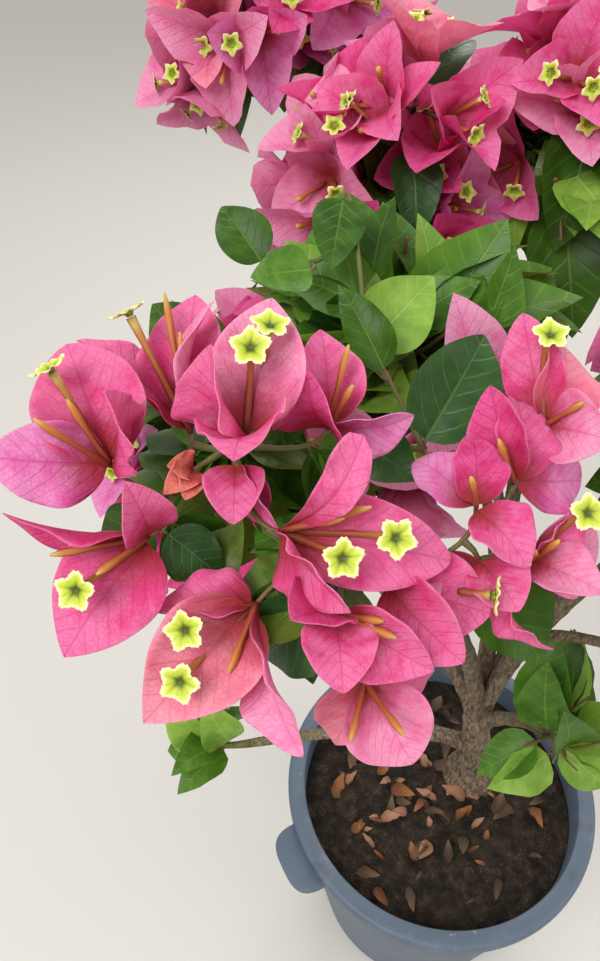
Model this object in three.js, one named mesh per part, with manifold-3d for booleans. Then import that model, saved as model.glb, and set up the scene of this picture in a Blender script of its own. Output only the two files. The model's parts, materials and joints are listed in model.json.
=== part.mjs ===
// A bougainvillea bush in a round plastic pot: a short leaning trunk, arching boughs, and masses of
// leaves and three-bract blooms at their ends. Millimetres, +Z up. The origin is the centre of the
// pot's underside, the crown leans to -X, and its large flowering spray hangs out over -Y.
import * as THREE from "three";
import { mergeVertices } from "three/addons/utils/BufferGeometryUtils.js";
import Module from "manifold-3d";

const wasm = await Module();
wasm.setup();

// Driving sizes
const GAP = 0.3;
const FINEST = 0.08;
const POT = {
  height: 250,
  rimRadius: 142,
  bandRadius: 137,
  bandHeight: 30,
  topRadius: 131,
  footRadius: 101,
  wall: 3.5,
  floor: 5,
  lip: 4,
  innerRimRadius: 126,
  lugReach: 22,
  lugWidth: 60,
  lugHeight: 5,
  lugDrop: 8,
  lugAngle: 207,
};
const SOIL = { top: 226, edge: 219, flatRadius: 76 };
const TRUNK = { foot: [32, 18], flareRadius: 25, radius: 15, topRadius: 11, top: [20, 12, 352] };
const BOUGH = {
  endShare: 0.62,
  follow: 0.6,
  rise: 0.7,
  reachOut: 0.5,
  bow: 0.42,
  thinner: 0.7,
  mostRadius: 8.5,
  leastRadius: 2.6,
  taper: 0.45,
};
const LEAF = { length: 62, width: 38, thickness: 1, cup: 0.1, droop: 0.12 };
const BRACT = { length: 50, width: 37, thickness: 0.8, cup: 0.2, droop: 0.14 };
const BLOOM = { hub: 2.4, leastLean: 0.35, leastGap: 1.1, seatShare: 0.14, leastOpen: 0.95, openRange: 0.25 };
const FLOWER = { tubeRadius: 1.5, flare: 3, starRadius: 6.2, starDepth: 0.8 };
const TWIG = { startRadius: 1.9, tipRadius: 1.2, sides: 3, rings: 2, branchShares: [0.35, 0.5, 0.65, 0.8] };
const SHOOT = {
  firstShare: 0.2,
  shareRange: 0.75,
  spread: 1.15,
  arch: 0.35,
  leastReach: 0.84,
  reachRange: 0.16,
  shorter: 0.94,
  shortest: 0.4,
  leastSize: 0.9,
  sizeRange: 0.2,
  flowering: { leaves: 2, from: 0.55, to: 0.8 },
  leafy: { leaves: 4, from: 0.35, to: 1 },
  leafTurn: 2.4,
  attempts: 4,
  attemptTurn: 1.1,
};
const STEM = { rise: 0.35, reachShare: 0.3, bow: 0.5 };
const CROWN_HEART = [15, 15, 520];

// The flowering spray's own frame: its face leans back 45 degrees, and its axes are right, up that
// face, and out of it. Every place on the spray is given in it.
const SPRAY = { centre: [-131, -174, 822], lean: 45, stemEnd: [2, 6, -34] };
const SPRAY_BOUGH = { name: "flowering_spray", at: [-130, -132, 768], reach: 0, from: ["trunk", 0.93] };
const SPRAY_SPACE = { at: [-118, -172, 812], reach: 92 };

// Blooms of the flowering spray: where the three bracts meet, then each bract's tip, its width and
// its turn in degrees round its own length, and the stars of the flowers that stand open.
const SPRAY_BLOOMS = [
  {
    at: [-56, 5, -4],
    bracts: [[[-85, 6, 4], 23, -10], [[-69, 39, -4], 29, 10], [[-47, 22, 22], 22, 75]],
    stars: [[-67, 30, 8]],
  },
  {
    at: [-43, -16, -6],
    bracts: [[[-82, -10, 2], 24, -65], [[-65, -48, 4], 30, 5], [[-42, -2, 22], 24, 35]],
    stars: [[-59, -29, 12]],
  },
  {
    at: [-32, 14, -14],
    bracts: [[[-62, 42, -6], 20, 60], [[-32, 56, -16], 26, -10], [[-27, 50, 0], 22, -70]],
    stars: [[-48, 47, -2]],
  },
  {
    at: [-15, 12, 0],
    bracts: [[[-8, 53, -4], 27, 0], [[-25, 33, 18], 24, -65], [[-16, 6, 30], 24, 10]],
    stars: [[-13, 35, 12]],
  },
  {
    at: [8, 15, -12],
    bracts: [[[7, 47, -20], 20, 15], [[1, 26, 12], 20, -50], [[32, 16, -4], 18, 50]],
    stars: [],
  },
  {
    at: [-18, 5, -4],
    bracts: [[[-18, -12, 6], 17, 0], [[-6, -14, 0], 14, 55], [[-11, -12, -10], 12, 0]],
    stars: [],
  },
  {
    at: [5, -17, 0],
    bracts: [[[14, 11, 6], 15, 40], [[45, -7, 4], 30, -5], [[-10, -14, 18], 24, 70]],
    stars: [[11, -20, 16], [25, -15, 13]],
  },
  {
    at: [24, -30, -8],
    bracts: [[[55, -38, -2], 26, -15], [[43, -49, 4], 22, 10], [[41, -21, -2], 22, 0]],
    stars: [],
  },
  {
    at: [10, -36, 4],
    bracts: [[[11, -54, 20], 20, 0], [[36, -51, 8], 20, 15], [[-2, -34, 24], 20, 75]],
    stars: [],
  },
  {
    at: [19, -59, -14],
    bracts: [[[33, -83, -12], 26, 0], [[11, -81, -24], 20, 10], [[40, -67, -34], 22, 0]],
    stars: [],
  },
  {
    at: [-12, -34, 0],
    bracts: [[[-42, -65, 8], 29, 5], [[-42, -37, -4], 20, 65], [[-3, -72, 12], 13, 55]],
    stars: [[-30, -39, 14], [-31, -52, 16]],
  },
  {
    at: [51, -8, -10],
    bracts: [[[52, 15, -16], 17, 10], [[64, -23, 0], 20, -20], [[35, 8, -24], 18, 20]],
    stars: [],
  },
  {
    at: [64, -1, -18],
    bracts: [[[56, 28, -14], 18, -30], [[68, 28, -24], 22, 20], [[91, 0, -38], 20, 0]],
    stars: [],
  },
  {
    at: [75, 17, -24],
    bracts: [[[69, 52, -26], 19, -20], [[86, 43, -32], 25, 15], [[91, 12, -12], 22, 0]],
    stars: [[74, 43, -14]],
  },
  {
    at: [69, -24, -18],
    bracts: [[[83, -8, -12], 17, 50], [[87, -32, -6], 21, -30], [[95, -21, -32], 27, 0]],
    stars: [[80, -9, 0]],
  },
  {
    at: [52, -23, -10],
    bracts: [[[61, -36, 0], 19, -20], [[73, -52, -14], 12, 75], [[46, -27, -26], 17, 0]],
    stars: [[54, -32, 0]],
  },
];

// Leaves of the flowering spray: base, tip and width
const SPRAY_LEAVES = [
  { base: [41, 13, -40], tip: [63, 50, -46], width: 28 },
  { base: [28, 37, -44], tip: [13, 66, -44], width: 16 },
  { base: [25, 48, -60], tip: [48, 73, -62], width: 26 },
  { base: [16, 104, -74], tip: [11, 76, -66], width: 20 },
  { base: [-29, -9, -24], tip: [-20, -32, -14], width: 20 },
  { base: [14, -2, -34], tip: [-6, -2, -24], width: 22 },
  { base: [-5, 6, -36], tip: [-12, 25, -30], width: 18 },
  { base: [24, 10, -38], tip: [37, 0, -30], width: 18 },
  { base: [-14, 80, -70], tip: [-29, 101, -72], width: 20 },
  { base: [4, 75, -62], tip: [-17, 71, -56], width: 18 },
  { base: [-24, 30, -44], tip: [-52, 62, -52], width: 26 },
  { base: [60, -30, -44], tip: [82, -62, -44], width: 28 },
];

// The rest of the crown: each mass has a centre, a reach round it, and its numbers of flowering and
// of leafy shoots. Its bough leaves the trunk or another bough at a share of that limb's length.
const MASSES = [
  { name: "left", at: [-165, 20, 650], reach: 86, shoots: [5, 3], from: ["trunk", 0.8], seed: 21011 },
  { name: "top_right", at: [10, 85, 800], reach: 86, shoots: [4, 4], from: ["trunk", 0.97], seed: 72983 },
  { name: "far_right_top", at: [122, 40, 782], reach: 90, shoots: [6, 2], from: ["trunk", 0.9], seed: 37037 },
  { name: "front_right_top", at: [64, -92, 780], reach: 86, shoots: [5, 3], from: ["trunk", 0.85], seed: 90411 },
  {
    name: "leafy_middle",
    at: [-90, -54, 766],
    reach: 74,
    shoots: [1, 6],
    from: ["flowering_spray", 0.62],
    seed: 72766,
  },
  { name: "top_left", at: [-142, 162, 846], reach: 78, shoots: [6, 2], from: ["left", 0.6], seed: 22887 },
  { name: "low_left_back", at: [-125, 150, 610], reach: 86, shoots: [5, 3], from: ["left", 0.45], seed: 48171 },
  { name: "top_middle", at: [-78, 78, 792], reach: 80, shoots: [5, 3], from: ["top_right", 0.5], seed: 79803 },
  { name: "back", at: [78, 185, 750], reach: 88, shoots: [5, 3], from: ["top_right", 0.62], seed: 60397 },
  { name: "back_left", at: [-66, 192, 740], reach: 84, shoots: [5, 3], from: ["top_right", 0.4], seed: 101801 },
  { name: "right", at: [192, -36, 655], reach: 88, shoots: [5, 3], from: ["far_right_top", 0.42], seed: 15113 },
  {
    name: "low_right_back",
    at: [176, 132, 640],
    reach: 88,
    shoots: [5, 3],
    from: ["far_right_top", 0.52],
    seed: 84127,
  },
  {
    name: "low_front_right",
    at: [118, -118, 610],
    reach: 78,
    shoots: [4, 3],
    from: ["front_right_top", 0.45],
    seed: 33131,
  },
  { name: "low_leafy", at: [42, -58, 470], reach: 60, shoots: [0, 6], from: ["trunk", 0.7], seed: 51407 },
  { name: "low_left_shoot", at: [-205, 8, 312], reach: 50, shoots: [0, 5], from: ["trunk", 0.35], seed: 66151 },
];

const MATERIALS = {
  pot: new THREE.MeshStandardMaterial({ color: 0x59636c, roughness: 0.55, metalness: 0 }),
  soil: new THREE.MeshStandardMaterial({ color: 0x33291f, roughness: 0.95, metalness: 0 }),
  bark: new THREE.MeshStandardMaterial({ color: 0x7a6650, roughness: 0.9, metalness: 0 }),
  bloom: new THREE.MeshStandardMaterial({ color: 0xe8398c, roughness: 0.6, metalness: 0 }),
  leaf: new THREE.MeshStandardMaterial({ color: 0x3f6b1f, roughness: 0.5, metalness: 0 }),
};

// Small helpers: seeded numbers, vectors, solids
function seeded(seed) {
  let state = seed;
  return () => {
    state = (state * 16807) % 2147483647;
    return state / 2147483647;
  };
}

const vec = (p) => new THREE.Vector3(...p);
const UP = new THREE.Vector3(0, 0, 1);
const GOLDEN_ANGLE = Math.PI * (3 - Math.sqrt(5));

function sprayPoint([right, up, out]) {
  const lean = THREE.MathUtils.degToRad(SPRAY.lean);
  const [s, c] = [Math.sin(lean), Math.cos(lean)];
  return vec(SPRAY.centre).add(new THREE.Vector3(right, up * s - out * c, up * c + out * s));
}

// Two directions square to a third and to each other
function crossAxes(direction) {
  const side = new THREE.Vector3(0.23, 0.31, 1).cross(direction).normalize();
  return [side, direction.clone().cross(side).normalize()];
}

function turnedRound(geometry) {
  const order = geometry.index.array.slice();
  for (let i = 0; i < order.length; i += 3) {
    [order[i + 1], order[i + 2]] = [order[i + 2], order[i + 1]];
  }
  return geometry.clone().setIndex(new THREE.BufferAttribute(order, 1));
}

// A closed geometry as a solid with its faces pointing out. Only its positions count.
function solidOf(geometry) {
  const bare = geometry.clone();
  bare.deleteAttribute("normal");
  bare.deleteAttribute("uv");
  const merged = mergeVertices(bare, 1e-4);
  const made = (shape) =>
    new wasm.Manifold(
      new wasm.Mesh({
        numProp: 3,
        vertProperties: new Float32Array(shape.attributes.position.array),
        triVerts: new Uint32Array(shape.index.array),
      }),
    );
  const solid = made(merged);
  return solid.volume() > 0 ? solid : made(turnedRound(merged));
}

function solidOfPoints(points, order) {
  return solidOf(
    new THREE.BufferGeometry()
      .setAttribute("position", new THREE.Float32BufferAttribute(points.flatMap((p) => p.toArray()), 3))
      .setIndex(order),
  );
}

function geometryOf(solid) {
  const mesh = solid.getMesh();
  return new THREE.BufferGeometry()
    .setAttribute("position", new THREE.BufferAttribute(new Float32Array(mesh.vertProperties), 3))
    .setIndex(new THREE.BufferAttribute(new Uint32Array(mesh.triVerts), 1));
}

// Joins solids two by two, which is faster than one by one.
function joined(solids) {
  let row = solids;
  while (row.length > 1) {
    const next = [];
    for (let i = 0; i < row.length; i += 2) {
      next.push(i + 1 < row.length ? row[i].add(row[i + 1]) : row[i]);
    }
    row = next;
  }
  return row[0];
}

const largestBody = (solid) => solid.decompose().reduce((a, b) => (a.volume() > b.volume() ? a : b));
const touches = (a, b) => !a.intersect(b).isEmpty();

// Curves: a limb leaves its start along one direction and bends over to its end.
function bentCurve(start, end, first, bow) {
  const control = start.clone().addScaledVector(first, end.distanceTo(start) * bow);
  return new THREE.QuadraticBezierCurve3(start, control, end);
}

const tapered = (from, to) => (share) => from + (to - from) * share;

// A limb's solid: rings of a few sides along its planar curve, each with its own radius
function limbSolid(curve, radiusAt, sides, rings) {
  const across = curve.getTangent(0).cross(curve.getTangent(1));
  if (across.length() < 1e-4) {
    across.copy(crossAxes(curve.getTangent(0))[0]);
  }
  across.normalize();
  const points = [];
  for (let ring = 0; ring <= rings; ring++) {
    const share = ring / rings;
    const normal = across.clone().cross(curve.getTangent(share)).normalize();
    for (let i = 0; i < sides; i++) {
      const angle = (i * 2 * Math.PI) / sides;
      const offset = normal.clone().multiplyScalar(Math.cos(angle)).addScaledVector(across, Math.sin(angle));
      points.push(curve.getPoint(share).addScaledVector(offset, radiusAt(share)));
    }
  }
  const order = [];
  for (let ring = 0; ring < rings; ring++) {
    for (let i = 0; i < sides; i++) {
      const [a, b] = [ring * sides + i, ring * sides + ((i + 1) % sides)];
      order.push(a, b, a + sides, b, b + sides, a + sides);
    }
  }
  for (let i = 1; i < sides - 1; i++) {
    const last = rings * sides;
    order.push(0, i + 1, i, last, last + i, last + i + 1);
  }
  return solidOfPoints(points, order);
}

// Blades. A point of a blade's outline is a share of its length and of its width. Its edges cup
// towards the side that it faces, and its tip droops away from it.
const CORNER = 0.43;
const KITE = [[-0.02, 0], [CORNER, 0.5], [1, 0], [CORNER, -0.5]];
const FULL_LEAF = [[-0.02, 0], [0.24, 0.44], [0.6, 0.43], [1, 0], [0.6, -0.43], [0.24, -0.44]];

function bladeFrame({ root, tip, faces }) {
  const along = tip.clone().sub(root);
  const length = along.length();
  along.normalize();
  const up = faces.clone().addScaledVector(along, -faces.dot(along)).normalize();
  return { along, length, up, side: up.clone().cross(along) };
}

function bladePoint({ root, width, cup, droop }, { along, length, up, side }, [s, w], lift = 0) {
  return root
    .clone()
    .addScaledVector(along, s * length)
    .addScaledVector(side, w * width)
    .addScaledVector(up, cup * width * 4 * w * w + droop * length * s * (1 - s) + lift);
}

// A leaf or bract: its outline fanned to a raised point on each side
function bladeSolid(blade) {
  const frame = bladeFrame(blade);
  const outline = blade.outline ?? KITE;
  const points = outline.map((place) => bladePoint(blade, frame, place));
  points.push(bladePoint(blade, frame, [0.45, 0], blade.thickness / 2));
  points.push(bladePoint(blade, frame, [0.45, 0], -blade.thickness / 2));
  const n = outline.length;
  return solidOfPoints(points, outline.flatMap((_, i) => [n, (i + 1) % n, i, n + 1, i, (i + 1) % n]));
}

// A bloom's bracts in turn round its axis, each with its frame, its lean and the gap to the next
function bractsInTurn(bracts, axis) {
  const [side, other] = crossAxes(axis);
  const turned = bracts.map((bract) => {
    const frame = bladeFrame(bract);
    const angle = Math.atan2(frame.along.dot(other), frame.along.dot(side));
    return { bract, frame, angle, lean: frame.along.angleTo(axis) };
  });
  turned.sort((a, b) => a.angle - b.angle);
  turned.forEach((one, i) => {
    const turn = turned[(i + 1) % 3].angle - one.angle;
    one.gap = turn > 0 ? turn : turn + 2 * Math.PI;
    const middle = one.angle + one.gap / 2;
    one.notch = side.clone().multiplyScalar(Math.cos(middle)).addScaledVector(other, Math.sin(middle));
  });
  return turned;
}

// A bloom: where its three bracts stand evenly round its axis it is one thin solid, fanned to a
// hub, with two corners and a tip to a bract and a notch before the next. Otherwise it is three blades.
function bloomSolid(bracts, axis) {
  const turned = bractsInTurn(bracts, axis);
  if (turned.some(({ lean, gap }) => lean < BLOOM.leastLean || gap < BLOOM.leastGap)) {
    return joined(bracts.map(bladeSolid));
  }
  const { root } = bracts[0];
  const points = [];
  turned.forEach(({ bract, frame, lean, gap, notch }, i) => {
    const lift = bract.cup * bract.width * Math.cos(lean);
    const radial = Math.max(CORNER * frame.length * Math.sin(lean) - lift, BLOOM.hub);
    const half = (turn) => Math.min(0.5, (radial * Math.tan(Math.min(0.45 * turn, 1.2))) / bract.width);
    points.push(bladePoint(bract, frame, [CORNER, -half(turned[(i + 2) % 3].gap)]));
    points.push(bladePoint(bract, frame, [1, 0]));
    points.push(bladePoint(bract, frame, [CORNER, half(gap)]));
    points.push(root.clone().addScaledVector(notch, BLOOM.hub).addScaledVector(axis, BLOOM.hub * 0.5));
  });
  const n = points.length;
  points.push(root.clone().addScaledVector(axis, BLOOM.hub * 0.6));
  points.push(root.clone().addScaledVector(axis, -BLOOM.hub));
  const order = [];
  for (let i = 0; i < n; i++) {
    order.push(n, i, (i + 1) % n, n + 1, (i + 1) % n, i);
  }
  return solidOfPoints(points, order);
}

// An open flower: a slim tube from its root that widens into a five-cornered star
function flowerSolid(root, star) {
  const tube = star.distanceTo(root);
  const profile = [
    [0, 0],
    [FLOWER.tubeRadius, tube - FLOWER.flare],
    [FLOWER.starRadius, tube],
    [0, tube - FLOWER.starDepth],
  ].map(([r, y]) => new THREE.Vector2(r, y));
  const geometry = new THREE.LatheGeometry(profile, 5);
  const direction = star.clone().sub(root).normalize();
  geometry.applyQuaternion(new THREE.Quaternion().setFromUnitVectors(new THREE.Vector3(0, 1, 0), direction));
  geometry.translate(root.x, root.y, root.z);
  return solidOf(geometry);
}

function lathed(profile, segments) {
  const points = profile.map(([r, z]) => new THREE.Vector2(r, z));
  return solidOf(new THREE.LatheGeometry(points, segments).rotateX(Math.PI / 2));
}

// The pot: a lathed shell with a banded rim and a flat floor, and two grip lugs
function potSolid() {
  const { height, wall, floor, lip, bandHeight, rimRadius, innerRimRadius } = POT;
  let pot = lathed(
    [
      [0, 0],
      [POT.footRadius, 0],
      [POT.topRadius, height - bandHeight],
      [POT.bandRadius, height - bandHeight],
      [rimRadius - 1, height - lip * 1.6],
      [rimRadius, height - lip * 0.7],
      [rimRadius - lip, height],
      [innerRimRadius + lip, height],
      [innerRimRadius, height - lip * 0.8],
      [innerRimRadius - 0.5, height - bandHeight],
      [POT.footRadius - wall, floor],
      [0, floor],
    ],
    32,
  );
  for (const turn of [0, 180]) {
    pot = pot.add(lugSolid(POT.lugAngle + turn));
  }
  return pot;
}

// A grip lug: a rounded tab that stands out under the rim, sunk into the band
function lugSolid(degrees) {
  const { rimRadius, bandRadius, lugReach, lugWidth, lugHeight, height } = POT;
  const inner = bandRadius - 6;
  const outer = rimRadius + lugReach;
  const shape = new THREE.Shape();
  shape.moveTo(inner, -lugWidth / 2);
  shape.lineTo(outer - lugReach * 0.7, -lugWidth / 2);
  shape.quadraticCurveTo(outer, -lugWidth / 2, outer, 0);
  shape.quadraticCurveTo(outer, lugWidth / 2, outer - lugReach * 0.7, lugWidth / 2);
  shape.lineTo(inner, lugWidth / 2);
  const tab = new THREE.ExtrudeGeometry(shape, { depth: lugHeight, bevelEnabled: false, curveSegments: 5 })
    .translate(0, 0, height - POT.lugDrop - lugHeight)
    .rotateZ(THREE.MathUtils.degToRad(degrees));
  return solidOf(tab);
}

// Soil: it fills the pot's inside a hair clear of the wall, flat round the trunk, lower at the edge
function soilSolid() {
  const low = POT.footRadius - POT.wall;
  const rise = POT.height - POT.bandHeight - POT.floor;
  const wallAt = (z) => low + ((POT.innerRimRadius - 0.5 - low) * (z - POT.floor)) / rise - GAP * 2;
  return lathed(
    [
      [0, POT.floor + GAP],
      [wallAt(POT.floor), POT.floor + GAP],
      [wallAt(SOIL.edge), SOIL.edge],
      [SOIL.flatRadius * 1.3, SOIL.edge + 3],
      [SOIL.flatRadius, SOIL.top],
      [0, SOIL.top],
    ],
    32,
  );
}

// Limbs: their curves and radii, kept by name so that other limbs can leave them
function trunkCurve() {
  const foot = new THREE.Vector3(...TRUNK.foot, SOIL.top + GAP);
  const top = vec(TRUNK.top);
  return bentCurve(foot, top, UP, 0.5);
}

function trunkRadius(share) {
  const flare = (TRUNK.flareRadius - TRUNK.radius) * Math.exp(-share * 7);
  return TRUNK.radius + (TRUNK.topRadius - TRUNK.radius) * share + flare;
}

function limbsOf() {
  const limbs = new Map([["trunk", { curve: trunkCurve(), radiusAt: trunkRadius }]]);
  for (const { name, at, reach, from: [parentName, share] } of [SPRAY_BOUGH, ...MASSES]) {
    const parent = limbs.get(parentName);
    const start = parent.curve.getPoint(share);
    const centre = vec(at);
    const outward = centre.clone().sub(start).normalize();
    const end = centre.clone().addScaledVector(outward, -reach * BOUGH.endShare);
    const first = parent.curve.getTangent(share).multiplyScalar(BOUGH.follow);
    first.addScaledVector(UP, BOUGH.rise).addScaledVector(outward, BOUGH.reachOut).normalize();
    const footRadius = Math.min(parent.radiusAt(share) * BOUGH.thinner, BOUGH.mostRadius);
    const tipRadius = Math.max(BOUGH.leastRadius, footRadius * BOUGH.taper);
    const curve = bentCurve(start, end, first, BOUGH.bow);
    limbs.set(name, { curve, radiusAt: tapered(footRadius, tipRadius) });
  }
  return limbs;
}

// Each limb starts inside the limb that it leaves, and is cut a hair clear of all the ones before it.
function limbSolids(limbs) {
  const made = new Map();
  let taken = null;
  for (const [name, { curve, radiusAt }] of limbs) {
    const [sides, rings] = name === "trunk" ? [10, 9] : [6, 5];
    let solid = limbSolid(curve, radiusAt, sides, rings);
    if (taken) {
      solid = largestBody(solid.subtract(taken));
    }
    made.set(name, solid);
    const grown = limbSolid(curve, (share) => radiusAt(share) + GAP, sides, rings);
    taken = taken ? taken.add(grown) : grown;
  }
  return { made, taken };
}

// The space of a mass: what lies nearer to it than to any other, allowing for their reaches
function inSpace(mass, point) {
  const power = (m) => point.distanceToSquared(vec(m.at)) - m.reach * m.reach;
  const own = power(mass);
  return [SPRAY_SPACE, ...MASSES].every(
    (other) => other === mass || power(other) - own > 2 * GAP * vec(mass.at).distanceTo(vec(other.at)),
  );
}

// Where a twig enters its bloom: in one bract, beside the hub
const bractSeat = ({ root, tip }) => root.clone().lerp(tip, BLOOM.seatShare);

// Directions spread evenly round an axis, from along it to a little past square with it
function spreadDirection(axis, k, count, turn) {
  const cosine = 1 - ((k + 0.5) / count) * SHOOT.spread;
  const sine = Math.sqrt(Math.max(0, 1 - cosine * cosine));
  const angle = k * GOLDEN_ANGLE + turn;
  const [side, other] = crossAxes(axis);
  return axis
    .clone()
    .multiplyScalar(cosine)
    .addScaledVector(side, sine * Math.cos(angle))
    .addScaledVector(other, sine * Math.sin(angle))
    .normalize();
}

// The three bracts of a bloom, set evenly round its axis and opened out from it by one angle
function evenBracts(root, axis, roll, openness, length) {
  const [side, other] = crossAxes(axis);
  return [0, 1, 2].map((i) => {
    const angle = roll + (i * 2 * Math.PI) / 3;
    const out = side.clone().multiplyScalar(Math.cos(angle)).addScaledVector(other, Math.sin(angle));
    const along = axis.clone().multiplyScalar(Math.cos(openness)).addScaledVector(out, Math.sin(openness));
    const faces = axis.clone().multiplyScalar(Math.sin(openness)).addScaledVector(out, -Math.cos(openness));
    return { ...BRACT, root, tip: root.clone().addScaledVector(along, length), faces };
  });
}

// A leaf on a shoot: it turns out from the shoot at its own angle, or goes on from its end, and
// faces up and outwards.
function shootLeaf(curve, at, round, out, length) {
  const tangent = curve.getTangent(at);
  const [side, other] = crossAxes(tangent);
  const away = side.multiplyScalar(Math.cos(round)).addScaledVector(other, Math.sin(round));
  const [outward, onward] = at < 1 ? [0.85, 0.5] : [0.25, 1];
  const along = away.multiplyScalar(outward).addScaledVector(tangent, onward).normalize();
  const root = curve.getPoint(at);
  const faces = out.clone().multiplyScalar(0.6).addScaledVector(UP, 0.8).addScaledVector(along, 0.1);
  return { ...LEAF, root, tip: root.clone().addScaledVector(along, length), faces };
}

// A shoot that arches out to a given reach from its mass's centre, with the bloom at its tip
function shootReaching(mass, shoot, reach) {
  const blade = shoot.flowers ? BRACT.length : LEAF.length;
  const tip = vec(mass.at).addScaledVector(shoot.out, reach - blade * 0.5);
  const curve = bentCurve(shoot.start, tip, shoot.first, SHOOT.arch);
  const axis = curve.getTangent(1).multiplyScalar(0.4).addScaledVector(shoot.out, 0.9).normalize();
  const length = BRACT.length * shoot.size;
  const bracts = shoot.flowers ? evenBracts(tip, axis, shoot.roll, shoot.openness, length) : [];
  return { ...shoot, curve, axis, bracts };
}

function bladeCorners(blade) {
  const frame = bladeFrame(blade);
  return KITE.map((place) => bladePoint(blade, frame, place));
}

// A mass grows by a seeded rule: shoots leave its stem and arch out to the edge of its space. Each
// flowering one ends in a bloom. A shoot that would leave the space is made shorter.
function growMass(mass, bough) {
  const random = seeded(mass.seed);
  const centre = vec(mass.at);
  const axis = centre.clone().sub(vec(CROWN_HEART)).normalize().addScaledVector(UP, STEM.rise).normalize();
  const inward = bough.curve.getTangent(1);
  const stemStart = bough.curve.getPoint(1).addScaledVector(inward, GAP);
  const stemEnd = centre.clone().addScaledVector(axis, mass.reach * STEM.reachShare);
  const stem = bentCurve(stemStart, stemEnd, inward, STEM.bow);
  const [flowering, leafy] = mass.shoots;
  const count = flowering + leafy;
  const turn = random() * Math.PI * 2;
  const shoots = [];
  for (let k = 0; k < count; k++) {
    const share = SHOOT.firstShare + SHOOT.shareRange * (1 - (k + 0.5) / count);
    const shoot = {
      flowers: Math.floor(((k + 1) * flowering) / count) > Math.floor((k * flowering) / count),
      out: spreadDirection(axis, k, count, turn),
      start: stem.getPoint(share),
      first: stem.getTangent(share).addScaledVector(UP, STEM.rise).normalize(),
      roll: random() * Math.PI * 2,
      openness: BLOOM.leastOpen + BLOOM.openRange * random(),
      size: SHOOT.leastSize + SHOOT.sizeRange * random(),
    };
    let reach = mass.reach * (SHOOT.leastReach + SHOOT.reachRange * random());
    let grown = shootReaching(mass, shoot, reach);
    const keepsIn = () =>
      [grown.curve.v2, ...grown.bracts.flatMap(bladeCorners)].every((point) => inSpace(mass, point));
    while (reach > mass.reach * SHOOT.shortest && !keepsIn()) {
      reach *= SHOOT.shorter;
      grown = shootReaching(mass, shoot, reach);
    }
    shoots.push(grown);
  }
  return { stem, shoots };
}

// The solid of one mass. A twig that would leave its space or touch a limb is skipped with all it
// carries. A bloom or leaf that would do so, or cross another, is turned on, and in the end skipped.
function massSolid(mass, bough, taken) {
  const { stem, shoots } = growMass(mass, bough);
  const wood = [limbSolid(stem, tapered(bough.radiusAt(1), TWIG.startRadius), 5, 3)];
  const blades = [];
  const fits = (corners, solid, own) =>
    corners.every((point) => inSpace(mass, point)) &&
    !touches(taken, solid) &&
    ![...wood, ...blades].some((other) => other !== own && touches(other, solid));
  const grown = [];
  for (const shoot of shoots) {
    const seat = shoot.flowers ? bractSeat(shoot.bracts[0]) : shoot.curve.v2;
    const reached = new THREE.QuadraticBezierCurve3(shoot.curve.v0, shoot.curve.v1, seat);
    const twig = limbSolid(reached, tapered(TWIG.startRadius, TWIG.tipRadius), TWIG.sides, TWIG.rings);
    if (!touches(taken, twig) && inSpace(mass, shoot.curve.v2)) {
      wood.push(twig);
      grown.push({ ...shoot, twig });
    }
  }
  for (const shoot of grown.filter(({ flowers }) => flowers)) {
    const bloom = bloomSolid(shoot.bracts, shoot.axis);
    if (fits(shoot.bracts.flatMap(bladeCorners), bloom, shoot.twig)) {
      blades.push(bloom);
    }
  }
  for (const shoot of grown) {
    const { leaves, from, to } = shoot.flowers ? SHOOT.flowering : SHOOT.leafy;
    for (let j = 0; j < leaves; j++) {
      const at = from + ((to - from) * j) / (leaves - 1);
      for (let attempt = 0; attempt < SHOOT.attempts; attempt++) {
        const round = shoot.roll + j * SHOOT.leafTurn + attempt * SHOOT.attemptTurn;
        const leaf = shootLeaf(shoot.curve, at, round, shoot.out, LEAF.length * shoot.size);
        const clear = bladeSolid({ ...leaf, thickness: leaf.thickness + 2 * GAP });
        if (fits(bladeCorners(leaf), clear, shoot.twig)) {
          blades.push(bladeSolid(leaf));
          break;
        }
      }
    }
  }
  return largestBody(joined([...wood, ...blades]));
}

// Places where a twig may branch, away from its ends and on the straight pieces between its rings
function branchPlaces(curve, rings) {
  const ends = curve.getPoints(rings);
  return TWIG.branchShares.map((share) => {
    const ring = Math.floor(share * rings);
    return ends[ring].clone().lerp(ends[ring + 1], share * rings - ring);
  });
}

// The face of one of the spray's bracts: out of the spray, made square to the bract, and turned
function bractFace(along, out, degrees) {
  const square = out.clone().addScaledVector(along, -out.dot(along)).normalize();
  return square.applyAxisAngle(along, THREE.MathUtils.degToRad(degrees));
}

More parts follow.
